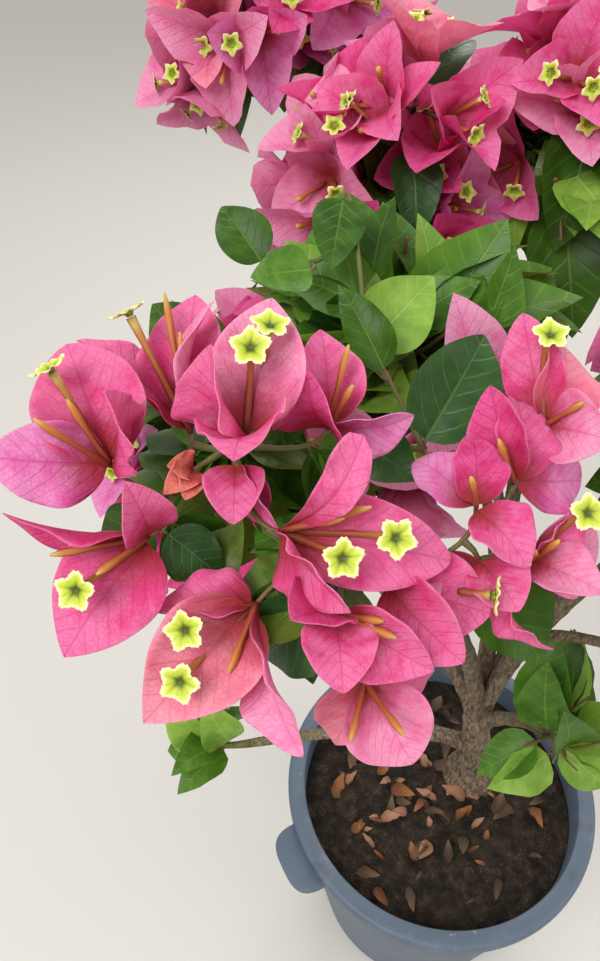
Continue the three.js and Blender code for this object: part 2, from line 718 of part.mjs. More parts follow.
// The flowering spray: a stem from its bough, and a twig to each bloom and leaf, all fused
function spraySolid(bough) {
  const inward = bough.curve.getTangent(1);
  const start = bough.curve.getPoint(1).addScaledVector(inward, GAP);
  const stem = bentCurve(start, sprayPoint(SPRAY.stemEnd), inward, 0.4);
  const parts = [limbSolid(stem, tapered(bough.radiusAt(1), TWIG.startRadius), 6, 4)];
  const places = branchPlaces(stem, 4);
  const out = sprayPoint([0, 0, 1]).sub(sprayPoint([0, 0, 0]));
  const addTwig = (to, direction, arriving, rings) => {
    const from = places.reduce((a, b) => (a.distanceTo(to) < b.distanceTo(to) ? a : b));
    const control = to.clone().addScaledVector(direction, -arriving * to.distanceTo(from));
    const curve = new THREE.QuadraticBezierCurve3(from, control, to);
    places.push(...branchPlaces(curve, rings));
    parts.push(limbSolid(curve, tapered(TWIG.startRadius, TWIG.tipRadius), TWIG.sides, rings));
  };
  for (const { at, bracts, stars } of SPRAY_BLOOMS) {
    const root = sprayPoint(at);
    const blades = bracts.map(([end, width, turn]) => {
      const tip = sprayPoint(end);
      const along = tip.clone().sub(root).normalize();
      return { ...BRACT, root, tip, width, along, faces: bractFace(along, out, turn) };
    });
    const axis = blades.reduce((sum, { along }) => sum.add(along), new THREE.Vector3()).normalize();
    addTwig(bractSeat(blades[0]), axis, 0.4, TWIG.rings);
    parts.push(...blades.map(bladeSolid));
    parts.push(...stars.map((star) => flowerSolid(root, sprayPoint(star))));
  }
  for (const { base, tip: end, width } of SPRAY_LEAVES) {
    const [root, tip] = [sprayPoint(base), sprayPoint(end)];
    addTwig(root.clone().lerp(tip, 0.06), tip.clone().sub(root).normalize(), 0.3, 1);
    parts.push(bladeSolid({ ...LEAF, root, tip, faces: out, width, outline: FULL_LEAF }));
  }
  return largestBody(joined(parts));
}

const bush = new THREE.Group();

function addNode(name, solid, material) {
  const mesh = new THREE.Mesh(geometryOf(solid.asOriginal().simplify(FINEST)), material);
  mesh.name = name;
  bush.add(mesh);
}

addNode("pot", potSolid(), MATERIALS.pot);
addNode("soil", soilSolid(), MATERIALS.soil);
const limbs = limbsOf();
const { made, taken } = limbSolids(limbs);
for (const [name, solid] of made) {
  addNode(name === "trunk" ? name : `bough_${name}`, solid, MATERIALS.bark);
}
const spray = spraySolid(limbs.get(SPRAY_BOUGH.name));
addNode("flowering_spray", spray, MATERIALS.bloom);
const occupied = taken.add(spray);
for (const mass of MASSES) {
  const material = mass.shoots[0] > 0 ? MATERIALS.bloom : MATERIALS.leaf;
  addNode(`mass_${mass.name}`, massSolid(mass, limbs.get(mass.name), occupied), material);
}

export default bush;
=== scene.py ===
"""A bougainvillea bush in a round plastic pot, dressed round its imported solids.

The trunk, the boughs and the masses follow the seeded rule of the solids and are carried on here
to finer twigs, single leaves and three-bract blooms. Plant sizes are millimetres until a mesh is
made, and azimuth 0 looks along +Y.
"""

import itertools
import json
import logging
import math
from collections.abc import Callable, Iterable, Sequence
from dataclasses import dataclass, field, replace
from enum import Enum
from typing import Any

import bmesh
import bpy
import numpy as np
from mathutils import Matrix, Vector, noise
from mathutils.bvhtree import BVHTree

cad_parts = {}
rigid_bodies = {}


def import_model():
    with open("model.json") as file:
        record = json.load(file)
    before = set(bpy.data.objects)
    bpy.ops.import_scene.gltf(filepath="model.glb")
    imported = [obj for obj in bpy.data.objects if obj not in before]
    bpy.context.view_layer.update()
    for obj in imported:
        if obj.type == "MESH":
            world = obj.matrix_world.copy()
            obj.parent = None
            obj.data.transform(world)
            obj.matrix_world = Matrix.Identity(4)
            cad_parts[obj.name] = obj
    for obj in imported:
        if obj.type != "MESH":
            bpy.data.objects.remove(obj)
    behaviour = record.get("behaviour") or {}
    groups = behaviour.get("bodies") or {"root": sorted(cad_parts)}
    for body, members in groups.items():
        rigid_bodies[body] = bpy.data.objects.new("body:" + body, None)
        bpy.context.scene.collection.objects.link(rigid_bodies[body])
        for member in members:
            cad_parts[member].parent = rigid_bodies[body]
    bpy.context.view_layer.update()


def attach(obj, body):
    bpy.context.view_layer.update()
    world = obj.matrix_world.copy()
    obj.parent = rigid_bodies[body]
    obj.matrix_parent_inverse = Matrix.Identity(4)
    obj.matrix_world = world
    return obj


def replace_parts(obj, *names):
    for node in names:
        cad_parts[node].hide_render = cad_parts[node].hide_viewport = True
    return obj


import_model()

log = logging.getLogger("bush")

MM = 0.001
UP = Vector((0.0, 0.0, 1.0))
MULTIPLIER = 16807
MODULUS = 2147483647
GOLDEN_ANGLE = math.pi * (3 - math.sqrt(5))
PATTERN_MAP = "OFBake"
MAP_MARGIN = 0.04
MOST_TRIANGLES = 190_000
BODY = "root"
FULL_TURN = 2 * math.pi
Named = dict[Any, Any] | None
Place = tuple[float, float, float]
Profile = Sequence[tuple[float, float]]


class Slot(Enum):
    """The record's material slots."""

    POT = "pot_plastic"
    SOIL = "soil"
    BARK = "bark"
    BLOOMS = "blooms_and_leaves"
    LEAVES = "leaves"


# Numbers and curves


@dataclass
class Seeded:
    """Park and Miller's generator, which draws the same row of numbers for the same seed above 0."""

    state: int

    def draw(self) -> float:
        """Returns the next number between 0 and 1."""
        self.state = (self.state * MULTIPLIER) % MODULUS
        return self.state / MODULUS

    def between(self, low: float, high: float) -> float:
        """Returns the next number between two limits."""
        return low + (high - low) * self.draw()

    def pick(self, choices: Sequence[Any]) -> Any:
        """Returns one of some choices."""
        return choices[int(self.draw() * len(choices)) % len(choices)]


def cross_axes(direction: Vector) -> tuple[Vector, Vector]:
    """Returns two unit vectors square to a third and to each other."""
    side = Vector((0.23, 0.31, 1.0)).cross(direction).normalized()
    return side, direction.cross(side).normalized()


def around(axis: Vector, angle: float) -> Vector:
    """Returns the direction square to an axis that lies at an angle round it."""
    side, other = cross_axes(axis)
    return side * math.cos(angle) + other * math.sin(angle)


@dataclass(frozen=True)
class Bend:
    """A quadratic curve that leaves its start along one direction and bends over to its end."""

    start: Vector
    control: Vector
    end: Vector

    @classmethod
    def leaving(cls, start: Vector, end: Vector, first: Vector, bow: float) -> "Bend":
        """Bends along a first direction, carried for a share of the whole distance, to an end."""
        return cls(start, start + first * ((end - start).length * bow), end)

    def point(self, share: float) -> Vector:
        """Returns the place at a share of the curve."""
        rest = 1 - share
        return self.start * (rest * rest) + self.control * (2 * share * rest) + self.end * (share * share)

    def tangent(self, share: float) -> Vector:
        """Returns the unit direction at a share of the curve."""
        first = (self.control - self.start) * (1 - share)
        return (first + (self.end - self.control) * share).normalized()

    def length(self) -> float:
        """Returns the curve's length, near enough."""
        middle = self.point(0.5)
        return (middle - self.start).length + (self.end - middle).length


# Shaders


@dataclass(eq=False)
class Flow:
    """A shader value of a recipe on which Python's operators add Math nodes."""

    recipe: "Recipe"
    socket: bpy.types.NodeSocket

    def maths(self, operation: str, *values: Any) -> "Flow":
        """Adds a Math node on this value and on others, which are numbers or flows."""
        inputs = dict(enumerate((self, *values)))
        return self.recipe.value("ShaderNodeMath", {"operation": operation}, inputs)

    def __add__(self, other: Any) -> "Flow":
        """Adds."""
        return self.maths("ADD", other)

    def __sub__(self, other: Any) -> "Flow":
        """Takes away."""
        return self.maths("SUBTRACT", other)

    def __rsub__(self, other: float) -> "Flow":
        """Takes this value away from a number."""
        return self.recipe.value("ShaderNodeMath", {"operation": "SUBTRACT"}, {0: other, 1: self})

    def __mul__(self, other: Any) -> "Flow":
        """Multiplies."""
        return self.maths("MULTIPLY", other)

    __radd__ = __add__
    __rmul__ = __mul__

    def __abs__(self) -> "Flow":
        """Drops the sign."""
        return self.maths("ABSOLUTE")

    def most(self, other: Any) -> "Flow":
        """Returns the larger of two values."""
        return self.maths("MAXIMUM", other)

    def part(self) -> "Flow":
        """Returns what is left over a whole number."""
        return self.maths("FRACT")

    def ease(self, start: float, end: float) -> "Flow":
        """Rises smoothly from 0 to 1, or falls where start lies above end.

        Args:
            start: The value at which the result is 0.
            end: The value at which it is 1.

        Returns:
            The eased value.
        """
        low, high = min(start, end), max(start, end)
        first, last = (0.0, 1.0) if start < end else (1.0, 0.0)
        inputs = {"Value": self, "From Min": low, "From Max": high, "To Min": first, "To Max": last}
        return self.recipe.value("ShaderNodeMapRange", {"interpolation_type": "SMOOTHSTEP"}, inputs)


def paint(code: str) -> tuple[float, float, float, float]:
    """Turns a screen colour into the shader's own.

    Args:
        code: Six hexadecimal digits.

    Returns:
        The linear colour, opaque.
    """
    screen = [int(code[at : at + 2], 16) / 255 for at in (0, 2, 4)]
    linear = [((value + 0.055) / 1.055) ** 2.4 if value > 0.04045 else value / 12.92 for value in screen]
    return (*linear, 1.0)


class Recipe:
    """One material and the method that adds nodes to it."""

    def __init__(self, name: str) -> None:
        """Starts an empty material.

        Args:
            name: The material's name.
        """
        self.material = bpy.data.materials.new(name)
        self.material.use_nodes = True
        self.tree = self.material.node_tree
        self.tree.nodes.clear()

    def node(self, kind: str, settings: Named = None, inputs: Named = None) -> bpy.types.Node:
        """Adds one node.

        Args:
            kind: The node's type.
            settings: Its own settings, and a ramp's stops as places and colours.
            inputs: The values or links of its sockets, by name or number.

        Returns:
            The node.
        """
        made = self.tree.nodes.new(kind)
        for key, value in (settings or {}).items():
            if key == "stops":
                self.set_stops(made.color_ramp, value)
            else:
                setattr(made, key, value)
        for key, value in (inputs or {}).items():
            if isinstance(value, Flow):
                self.tree.links.new(value.socket, made.inputs[key])
            else:
                made.inputs[key].default_value = value
        return made

    @staticmethod
    def set_stops(ramp: bpy.types.ColorRamp, stops: Sequence[tuple[float, Sequence[float]]]) -> None:
        """Puts a ramp's stops in place.

        Args:
            ramp: The ramp, with its two first stops.
            stops: Two or more places from 0 to 1, each with its colour.
        """
        while len(ramp.elements) < len(stops):
            ramp.elements.new(0.5)
        for element, (place, colour) in zip(ramp.elements, stops):
            element.position = place
            element.color = colour

    def value(self, kind: str, settings: Named = None, inputs: Named = None, output: Any = 0) -> Flow:
        """Adds one node and returns one of its outputs, by name or number."""
        return Flow(self, self.node(kind, settings, inputs).outputs[output])

    def mix(self, share: Any, first: Any, second: Any) -> Flow:
        """Blends two colours, by the second one's share."""
        return self.value("ShaderNodeMix", {"data_type": "RGBA"}, {0: share, 6: first, 7: second}, 2)

    def layered(self, colour: Any, *layers: tuple[Any, str]) -> Any:
        """Lays colours over another.

        Args:
            colour: The colour below.
            layers: Each layer's share and its screen colour.

        Returns:
            The blend.
        """
        for share, code in layers:
            colour = self.mix(share, colour, paint(code))
        return colour

    def noise(self, place: Flow, scale: float, detail: float = 3.0, rough: float = 0.55) -> Flow:
        """Adds a cloudy pattern between 0 and 1: its features to a unit, and its finer layers."""
        inputs = {"Vector": place, "Scale": scale, "Detail": detail, "Roughness": rough}
        return self.value("ShaderNodeTexNoise", None, inputs)

    def cells(self, place: Flow, scale: float) -> Flow:
        """Adds a net of cells, as the distance to their nearest border."""
        inputs = {"Vector": place, "Scale": scale}
        return self.value("ShaderNodeTexVoronoi", {"feature": "DISTANCE_TO_EDGE"}, inputs)

    def solid_place(self) -> Flow:
        """Returns the object's own coordinates."""
        return self.value("ShaderNodeTexCoord", output="Object")

    def upright(self, place: Flow, share: float) -> Flow:
        """Returns coordinates on which a pattern is drawn out along Z, to one over a share."""
        return self.value("ShaderNodeMapping", None, {"Vector": place, "Scale": (1.0, 1.0, share)})

    def attribute(self, name: str) -> Flow:
        """Returns a number that the mesh holds at each point."""
        return self.value("ShaderNodeAttribute", {"attribute_name": name}, output="Fac")

    def own_map(self) -> tuple[Flow, Flow, Flow]:
        """Reads the piece's own flat coordinates.

        Returns:
            Both coordinates together, the first and the second.
        """
        spot = self.value("ShaderNodeUVMap", {"uv_map": PATTERN_MAP})
        split = self.node("ShaderNodeSeparateXYZ", None, {0: spot})
        return spot, Flow(self, split.outputs[0]), Flow(self, split.outputs[1])

    def closed(
        self,
        colour: Any,
        rough: Any,
        bump: tuple[Flow, float, float] | None = None,
        through: tuple[Sequence[float], float] | None = None,
        **more: float,
    ) -> bpy.types.Material:
        """Adds the main shader and closes the material.

        Args:
            colour: Its base colour.
            rough: Its roughness.
            bump: A height, the bump's strength and its depth in metres.
            through: The colour and the share of light that comes through from behind.
            more: Uniform values by socket, with underscores for blanks.

        Returns:
            The material.
        """
        inputs = {"Base Color": colour, "Roughness": rough}
        inputs |= {key.replace("_", " "): value for key, value in more.items()}
        if bump:
            settings = dict(zip(("Height", "Strength", "Distance"), bump))
            inputs["Normal"] = self.value("ShaderNodeBump", None, settings)
        shader = self.value("ShaderNodeBsdfPrincipled", None, inputs)
        if through:
            glow = self.value("ShaderNodeBsdfTranslucent", None, {"Color": through[0]})
            shader = self.value("ShaderNodeMixShader", None, {0: through[1], 1: shader, 2: glow})
        self.node("ShaderNodeOutputMaterial", None, {"Surface": shader})
        return self.material

    def blade_place(self, tiles: int) -> tuple[Flow, Flow, Flow]:
        """Reads where a point lies on its own blade.

        Args:
            tiles: How many blades share the map along each side.

        Returns:
            The flat coordinates on the blade, the share along it, and the distance from its midrib.
        """
        spot, *flat = self.own_map()
        wide = 1 - 2 * MAP_MARGIN
        across, along = [((value * tiles).part() - MAP_MARGIN) * (1 / wide) for value in flat]
        return spot, along, abs(across - 0.5)


@dataclass(frozen=True)
class Veins:
    """A blade's veins: how many side ribs, how they lean and bow to the tip, and how wide all are."""

    ribs: float
    lean: float
    bow: float
    rib_width: float
    taper: float
    midrib_edge: float
    midrib_core: float
    waver: float = 0.05

    def pattern(self, along: Flow, off: Flow, crease: Flow) -> tuple[Flow, Flow]:
        """Works out how strongly the veins show.

        Args:
            along: The share along the blade.
            off: The distance from its midrib.
            crease: A fine pattern that makes the ribs waver.

        Returns:
            The side ribs and the midrib, each from 0 to 1.
        """
        course = (along + crease * self.waver) * self.ribs - off * self.lean - off * off * self.bow
        midrib = (off + along * self.taper).ease(self.midrib_edge, self.midrib_core)
        return abs(course.part() - 0.5).ease(self.rib_width, 0.0), midrib


BRACT_VEINS = Veins(7, 5.5, 12, 0.13, 0.012, 0.022, 0.008)
LEAF_VEINS = Veins(6, 4, 9, 0.11, 0.014, 0.024, 0.01)


@dataclass(frozen=True)
class BractFinish:
    """A papery bract: a main colour, paler mottling with a painted highlight, darker veins and painted throat
    shade.
    """

    name: str
    main: str
    # The light colour is laid as random paler mottling and as a painted highlight that grows towards the tip.
    light: str
    deep: str
    # The throat colour is painted shade: the dark brownish red inside the funnel where the bracts meet.
    throat: str = "a2322e"
    edge: str = "f9bcd6"

    def material(self, tiles: int) -> bpy.types.Material:
        """Makes the material.

        Args:
            tiles: How many bracts share the map along each side.

        Returns:
            The material.
        """
        recipe = Recipe(f"bract_{self.name}_{tiles}")
        spot, along, off = recipe.blade_place(tiles)
        mottle = recipe.noise(spot, 5.0 * tiles)
        crease = recipe.noise(spot, 15.0 * tiles)
        ribs, midrib = BRACT_VEINS.pattern(along, off, crease)
        net = recipe.cells(spot, 30.0 * tiles).ease(0.07, 0.0)
        vein = midrib.most(ribs * off.ease(0.5, 0.12) * 0.7).most(net * 0.4)
        colour = recipe.layered(
            paint(self.main),
            # Paler mottling: partly random tone, partly a painted highlight growing towards the tip.
            ((mottle + along * 0.35).ease(0.42, 0.86), self.light),
            (vein * 0.38, self.deep),
            # Painted shade at the throat, darkest at the base and near the midrib, where the bracts meet.
            ((along + off * 0.85 + crease * 0.2).ease(0.72, 0.18) * 0.95, self.throat),
            (recipe.attribute("rim").ease(0.93, 1.0) * 0.2, self.edge),
        )
        height = crease * 0.8 + mottle * 0.8 - vein
        through = (paint(self.main), 0.32)
        return recipe.closed(colour, 0.6, (height, 0.55, 0.0006), through, Specular_IOR_Level=0.3)


@dataclass(frozen=True)
class LeafFinish:
    """A leaf: a main green, a darker one between the ribs, pale ribs and a soft gloss."""

    name: str
    main: str
    dark: str
    rib: str
    through: str
    rough: float = 0.36

    def material(self, tiles: int) -> bpy.types.Material:
        """Makes the material.

        Args:
            tiles: How many leaves share the map along each side.

        Returns:
            The material.
        """
        recipe = Recipe(f"leaf_{self.name}_{tiles}")
        spot, along, off = recipe.blade_place(tiles)
        mottle = recipe.noise(spot, 4.0 * tiles)
        blister = recipe.noise(spot, 13.0 * tiles)
        ribs, midrib = LEAF_VEINS.pattern(along, off, blister)
        vein = midrib.most(ribs * off.ease(0.46, 0.05) * 0.55)
        green = recipe.layered(paint(self.dark), (mottle.ease(0.3, 0.7), self.main), (vein * 0.36, self.rib))
        bump = (blister * 0.7 - vein, 0.45, 0.0006)
        rough = mottle * 0.18 + (self.rough - 0.05)
        return recipe.closed(green, rough, bump, (paint(self.through), 0.15), Specular_IOR_Level=0.26)


@dataclass(frozen=True)
class RingFinish:
    """A finish whose colours follow each other along a piece's own map, base to tip."""

    name: str
    stops: tuple[tuple[float, str], ...]
    rough: float
    through: float = 0.0

    def material(self, tiles: int = 1) -> bpy.types.Material:
        """Makes the material.

        Args:
            tiles: How many things share the map along each side.

        Returns:
            The material.
        """
        recipe = Recipe(f"{self.name}_{tiles}")
        spot, _, along = recipe.own_map()
        grain = recipe.noise(spot, 9.0)
        stops = [(place, paint(code)) for place, code in self.stops]
        colour = recipe.value("ShaderNodeValToRGB", {"stops": stops}, {0: along + grain * 0.06 - 0.03})
        through = (stops[len(stops) // 2][1], self.through) if self.through else None
        return recipe.closed(colour, self.rough, (grain, 0.3, 0.0004), through)


@dataclass(frozen=True)
class BarkFinish:
    """Bark: grey over brown, with long cracks and a greener young end."""

    name: str
    grey: str = "8d7f6d"
    brown: str = "5b4531"
    crack: str = "2d2118"
    green: str = "6d7340"

    def material(self) -> bpy.types.Material:
        """Makes the material.

        Returns:
            The material.
        """
        recipe = Recipe(self.name)
        place = recipe.solid_place()
        stretched = recipe.upright(place, 0.22)
        fibre = recipe.noise(stretched, 420.0, 5.0, 0.65)
        patch = recipe.noise(place, 55.0)
        drift = recipe.value("ShaderNodeTexNoise", None, {"Vector": place, "Scale": 70.0}, "Color")
        wandering = recipe.mix(0.009, stretched, drift)
        cracks = recipe.cells(wandering, 210.0).ease(0.13, 0.0) * patch.ease(0.36, 0.62)
        colour = recipe.layered(
            paint(self.brown),
            (fibre.ease(0.35, 0.65), self.grey),
            (cracks * 0.5, self.crack),
            (recipe.attribute("young") * (patch * 0.5 + 0.4), self.green),
        )
        height = fibre * 0.6 - cracks * 0.7 + patch * 0.4
        return recipe.closed(colour, fibre * 0.2 + 0.68, (height, 0.6, 0.0012), Specular_IOR_Level=0.3)


@dataclass(frozen=True)
class PotFinish:
    """Moulded plastic: grey-blue, with faint flow marks, dust in patches and pale scuffs."""

    body: str = "586575"
    dust: str = "8c9298"
    scuff: str = "aab2ba"
    stain: str = "404852"

    def material(self) -> bpy.types.Material:
        """Makes the material.

        Returns:
            The material.
        """
        recipe = Recipe("pot_plastic")
        place = recipe.solid_place()
        dust = recipe.noise(place, 16.0, 6.0, 0.65)
        stain = recipe.noise(recipe.upright(place, 0.25), 28.0, 4.0)
        scuff = recipe.noise(place, 90.0, 4.0, 0.7)
        grain = recipe.noise(place, 900.0, 2.0)
        colour = recipe.layered(
            paint(self.body),
            (stain.ease(0.5, 0.72) * 0.6, self.stain),
            (dust.ease(0.5, 0.75) * 0.55, self.dust),
            (scuff.ease(0.66, 0.78) * 0.5, self.scuff),
        )
        height = grain * 0.35 + scuff * 0.5
        return recipe.closed(colour, dust * 0.35 + 0.34, (height, 0.25, 0.0005), Specular_IOR_Level=0.45)


@dataclass(frozen=True)
class SoilFinish:
    """Moist potting soil: dark crumbs, with paler dry ones scattered among them."""

    dark: str = "1c1712"
    brown: str = "3a2f24"
    dry: str = "6e5f4a"

    def material(self) -> bpy.types.Material:
        """Makes the material.

        Returns:
            The material.
        """
        recipe = Recipe("moist_soil")
        place = recipe.solid_place()
        coarse = recipe.noise(place, 90.0, 6.0, 0.7)
        crumbs = recipe.cells(place, 260.0)
        fine = recipe.noise(place, 700.0, 3.0, 0.7)
        dry = (fine * coarse).ease(0.3, 0.42) * 0.7
        colour = recipe.layered(paint(self.dark), (coarse.ease(0.35, 0.65), self.brown), (dry, self.dry))
        height = crumbs * 1.2 + fine * 0.6
        return recipe.closed(colour, 0.9, (height, 0.9, 0.003), Specular_IOR_Level=0.25)


class BractTint(Enum):
    """The tints of the bracts, dealt out by spray."""

    HOT = BractFinish("hot", "e8468f", "f27fb4", "c4276d")
    PALE = BractFinish("pale", "f078ae", "f8a8cd", "d8528f")
    MAUVE = BractFinish("mauve", "e45fae", "f09ace", "bd4490")
    SALMON = BractFinish("salmon", "f07596", "f8a2b8", "d64f70")
    CRIMSON = BractFinish("crimson", "db2c78", "ec5fa0", "a3104f")
    CORAL = BractFinish("coral", "ee6a62", "f69a86", "c23c38")


class LeafTint(Enum):
    """The greens of the leaves, dealt out by shoot."""

    DEEP = LeafFinish("deep", "395f16", "26440e", "76963a", "649818")
    TEAL = LeafFinish("teal", "2f5426", "203f1b", "688c4a", "548c28", 0.3)
    MID = LeafFinish("mid", "54802a", "3c641c", "94ae56", "84b428")
    OLIVE = LeafFinish("olive", "62762c", "44561e", "98a254", "90a62e")
    FRESH = LeafFinish("fresh", "8cb047", "6a9434", "bccd78", "b0d044", 0.42)


BRACT_FINISHES = [tint.value for tint in BractTint]
LEAF_FINISHES = [tint.value for tint in LeafTint]
STAR_STOPS = (
    (0.0, "7d3420"), (0.3, "a85a30"), (0.5, "c39a50"), (0.62, "d9d88c"), (0.67, "f4efc0"), (0.7, "ebe99c"),
    (0.745, "cdd850"), (0.84, "b6c634"), (0.915, "8a9e2a"), (0.96, "4a581a"), (1.0, "242c0a"),
)
TUBE_STOPS = ((0.0, "7a2c22"), (0.45, "9c4a2a"), (0.8, "b98242"), (1.0, "d2c272"))
BUD_STOPS = ((0.0, "8a3026"), (0.5, "aa522c"), (0.85, "c47c3c"), (1.0, "d2bc5c"))
STAR = RingFinish("flower", STAR_STOPS, 0.5, 0.15)
TUBE = RingFinish("flower_tube", TUBE_STOPS, 0.55, 0.12)
BUD = RingFinish("closed_flower", BUD_STOPS, 0.55, 0.12)
GREEN_TWIG = RingFinish("green_twig", ((0.0, "5c4c2e"), (0.4, "59652a"), (1.0, "704232")), 0.6)
DRY_LEAF = RingFinish("dry_leaf", ((0.0, "4a2c16"), (0.5, "7e4c26"), (1.0, "945f30")), 0.8)
DRY_BRACT = RingFinish("dry_bract", ((0.0, "6e4a34"), (0.5, "a47a5c"), (1.0, "9c6f62")), 0.8, 0.1)
BROWN_LEAF = RingFinish("brown_leaf", ((0.0, "33231a"), (0.5, "54402e"), (1.0, "6a523a")), 0.85)


# Meshes made by operators


def lathe(profile: Profile, steps: int) -> bmesh.types.BMesh:
    """Spins a profile about Z.

    Args:
        profile: Radii and heights, from the axis back to the axis, or round to the start.
        steps: How many steps the full turn has.

    Returns:
        The closed mesh, with its faces pointing out.
    """
    made = bmesh.new()
    verts = [made.verts.new((radius, 0.0, height)) for radius, height in profile]
    edges = [made.edges.new(pair) for pair in zip(verts, verts[1:])]
    bmesh.ops.spin(
        made, geom=[*verts, *edges], axis=UP, cent=(0, 0, 0), steps=steps, angle=FULL_TURN, use_merge=True
    )
    bmesh.ops.remove_doubles(made, verts=made.verts[:], dist=1e-4)
    bmesh.ops.recalc_face_normals(made, faces=made.faces[:])
    return made


def piece_from(made: bmesh.types.BMesh, name: str, material: bpy.types.Material) -> bpy.types.Object:
    """Turns a mesh in progress into a piece that rides on the plant's body.

    Args:
        made: The mesh, in millimetres.
        name: The piece's name.
        material: Its finish.

    Returns:
        The piece.
    """
    bmesh.ops.scale(made, vec=(MM,) * 3, verts=made.verts[:])
    mesh = bpy.data.meshes.new(name)
    made.to_mesh(mesh)
    made.free()
    mesh.shade_smooth()
    mesh.materials.append(material)
    return settled(name, mesh)


def of_kind(items: Iterable[Any], kind: type) -> list[Any]:
    """Returns the items of one kind."""
    return [item for item in items if isinstance(item, kind)]


def settled(name: str, mesh: bpy.types.Mesh) -> bpy.types.Object:
    """Puts a finished mesh in the scene as a piece and reports it.

    Args:
        name: The piece's name.
        mesh: Its mesh, in metres.

    Returns:
        The piece.
    """
    piece = bpy.data.objects.new(name, mesh)
    bpy.context.scene.collection.objects.link(piece)
    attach(piece, BODY)
    log.info("%s: %d faces", name, len(mesh.polygons))
    return piece


# Small things as arrays


@dataclass
class Form:
    """One small shape as arrays, ready to be dealt out many times."""

    points: np.ndarray
    corners: np.ndarray
    sizes: np.ndarray
    map: np.ndarray
    rim: np.ndarray

    @classmethod
    def of(
        cls, made: bmesh.types.BMesh, place: Callable[[Vector], tuple[float, float]], rim: Any = None
    ) -> "Form":
        """Reads a mesh made by operators.

        Args:
            made: The mesh, which is freed.
            place: The map coordinates of a point of the shape.
            rim: How near a point is to the outline, from 0 to 1, or None.

        Returns:
            The form.
        """
        made.verts.index_update()
        points = np.array([vert.co[:] for vert in made.verts])
        corners = [vert.index for face in made.faces for vert in face.verts]
        sizes = [len(face.verts) for face in made.faces]
        flat = np.array([place(vert.co) for vert in made.verts])
        near = [rim(vert.co) if rim else 0.0 for vert in made.verts]
        made.free()
        return cls(points, np.array(corners), np.array(sizes), flat[corners], np.array(near))

    def moved(self, axes: Sequence[Vector], origin: Vector) -> np.ndarray:
        """Returns the points on other axes, each with its scale, from another origin."""
        return self.points @ np.array([axis[:] for axis in axes]) + np.array(origin[:])

    def faces(self, start: int) -> list[list[int]]:
        """Returns each face's points, numbered from a start."""
        return [part.tolist() for part in np.split(self.corners + start, np.cumsum(self.sizes)[:-1])]


@dataclass
class Gathering:
    """Small things of one kind, joined as arrays into pieces of a limited size.

    It holds the pieces' name and slot, the finishes by number, and how many things share the map
    along each side. With 1, they all use the whole map.
    """

    name: str
    slot: Slot
    finishes: Sequence[Any]
    tiles: int = 1
    things: list[tuple[Form, np.ndarray, int]] = field(default_factory=list)

    def add(self, form: Form, axes: Sequence[Vector], origin: Vector, finish: int) -> None:
        """Adds one thing on its own axes, each with its scale, in the finish of a number."""
        self.things.append((form, form.moved(axes, origin), finish))

    def add_placed(self, form: Form) -> None:
        """Adds one thing whose points already lie in place, in the first finish."""
        self.things.append((form, form.points, 0))

    def faces_tree(self) -> BVHTree:
        """Makes a search tree of all the things' faces.

        Returns:
            The tree.
        """
        points: list[list[float]] = []
        faces: list[list[int]] = []
        for form, spots, _ in self.things:
            faces += form.faces(len(points))
            points += spots.tolist()
        return BVHTree.FromPolygons(points, faces)

    def tile(self, flat: np.ndarray, number: int) -> np.ndarray:
        """Moves one thing's map into its own tile, clear of the tile's edge."""
        row, column = divmod(number % (self.tiles * self.tiles), self.tiles)
        return (MAP_MARGIN + (1 - 2 * MAP_MARGIN) * flat + (column, row)) / self.tiles

    def build(self) -> list[bpy.types.Object]:
        """Joins the things into pieces.

        Returns:
            The pieces.
        """
        pieces = []
        chunk: list[tuple[Form, np.ndarray, int]] = []
        load = 0
        for thing in self.things:
            weight = int((thing[0].sizes - 2).sum())
            if load + weight > MOST_TRIANGLES:
                pieces.append(self.join(chunk, len(pieces)))
                chunk, load = [], 0
            chunk.append(thing)
            load += weight
        if chunk:
            pieces.append(self.join(chunk, len(pieces)))
        return pieces

    def join(self, things: list[tuple[Form, np.ndarray, int]], number: int) -> bpy.types.Object:
        """Joins some things into one piece.

        Args:
            things: Each with its form, its points and its finish.
            number: The piece's number, for its name.

        Returns:
            The piece.
        """
        counts = np.cumsum([0] + [len(points) for _, points, _ in things])
        points = np.concatenate([points for _, points, _ in things]) * MM
        corners = np.concatenate([form.corners + start for (form, _, _), start in zip(things, counts)])
        sizes = np.concatenate([form.sizes for form, _, _ in things])
        flat = np.concatenate([self.tile(form.map, at) for at, (form, _, _) in enumerate(things)])
        rims = np.concatenate([form.rim for form, _, _ in things])
        numbers = np.concatenate([np.full(len(form.sizes), finish) for form, _, finish in things])
        used, slots = np.unique(numbers, return_inverse=True)
        name = f"{self.name}_{number + 1}"
        mesh = bpy.data.meshes.new(name)
        mesh.vertices.add(len(points))
        mesh.vertices.foreach_set("co", points.astype(np.float32).ravel())
        mesh.loops.add(len(corners))
        mesh.loops.foreach_set("vertex_index", corners.astype(np.int32))
        mesh.polygons.add(len(sizes))
        starts = np.concatenate([[0], np.cumsum(sizes)[:-1]])
        mesh.polygons.foreach_set("loop_start", starts.astype(np.int32))
        mesh.polygons.foreach_set("material_index", slots.astype(np.int32))
        mesh.update(calc_edges=True)
        mesh.uv_layers.new(name=PATTERN_MAP).data.foreach_set("uv", flat.astype(np.float32).ravel())
        mesh.attributes.new("rim", "FLOAT", "POINT").data.foreach_set("value", rims.astype(np.float32))
        mesh.validate()
        mesh.shade_smooth()
        for finish in used:
            mesh.materials.append(self.finishes[finish].material(self.tiles))
        piece = settled(name, mesh)
        return piece


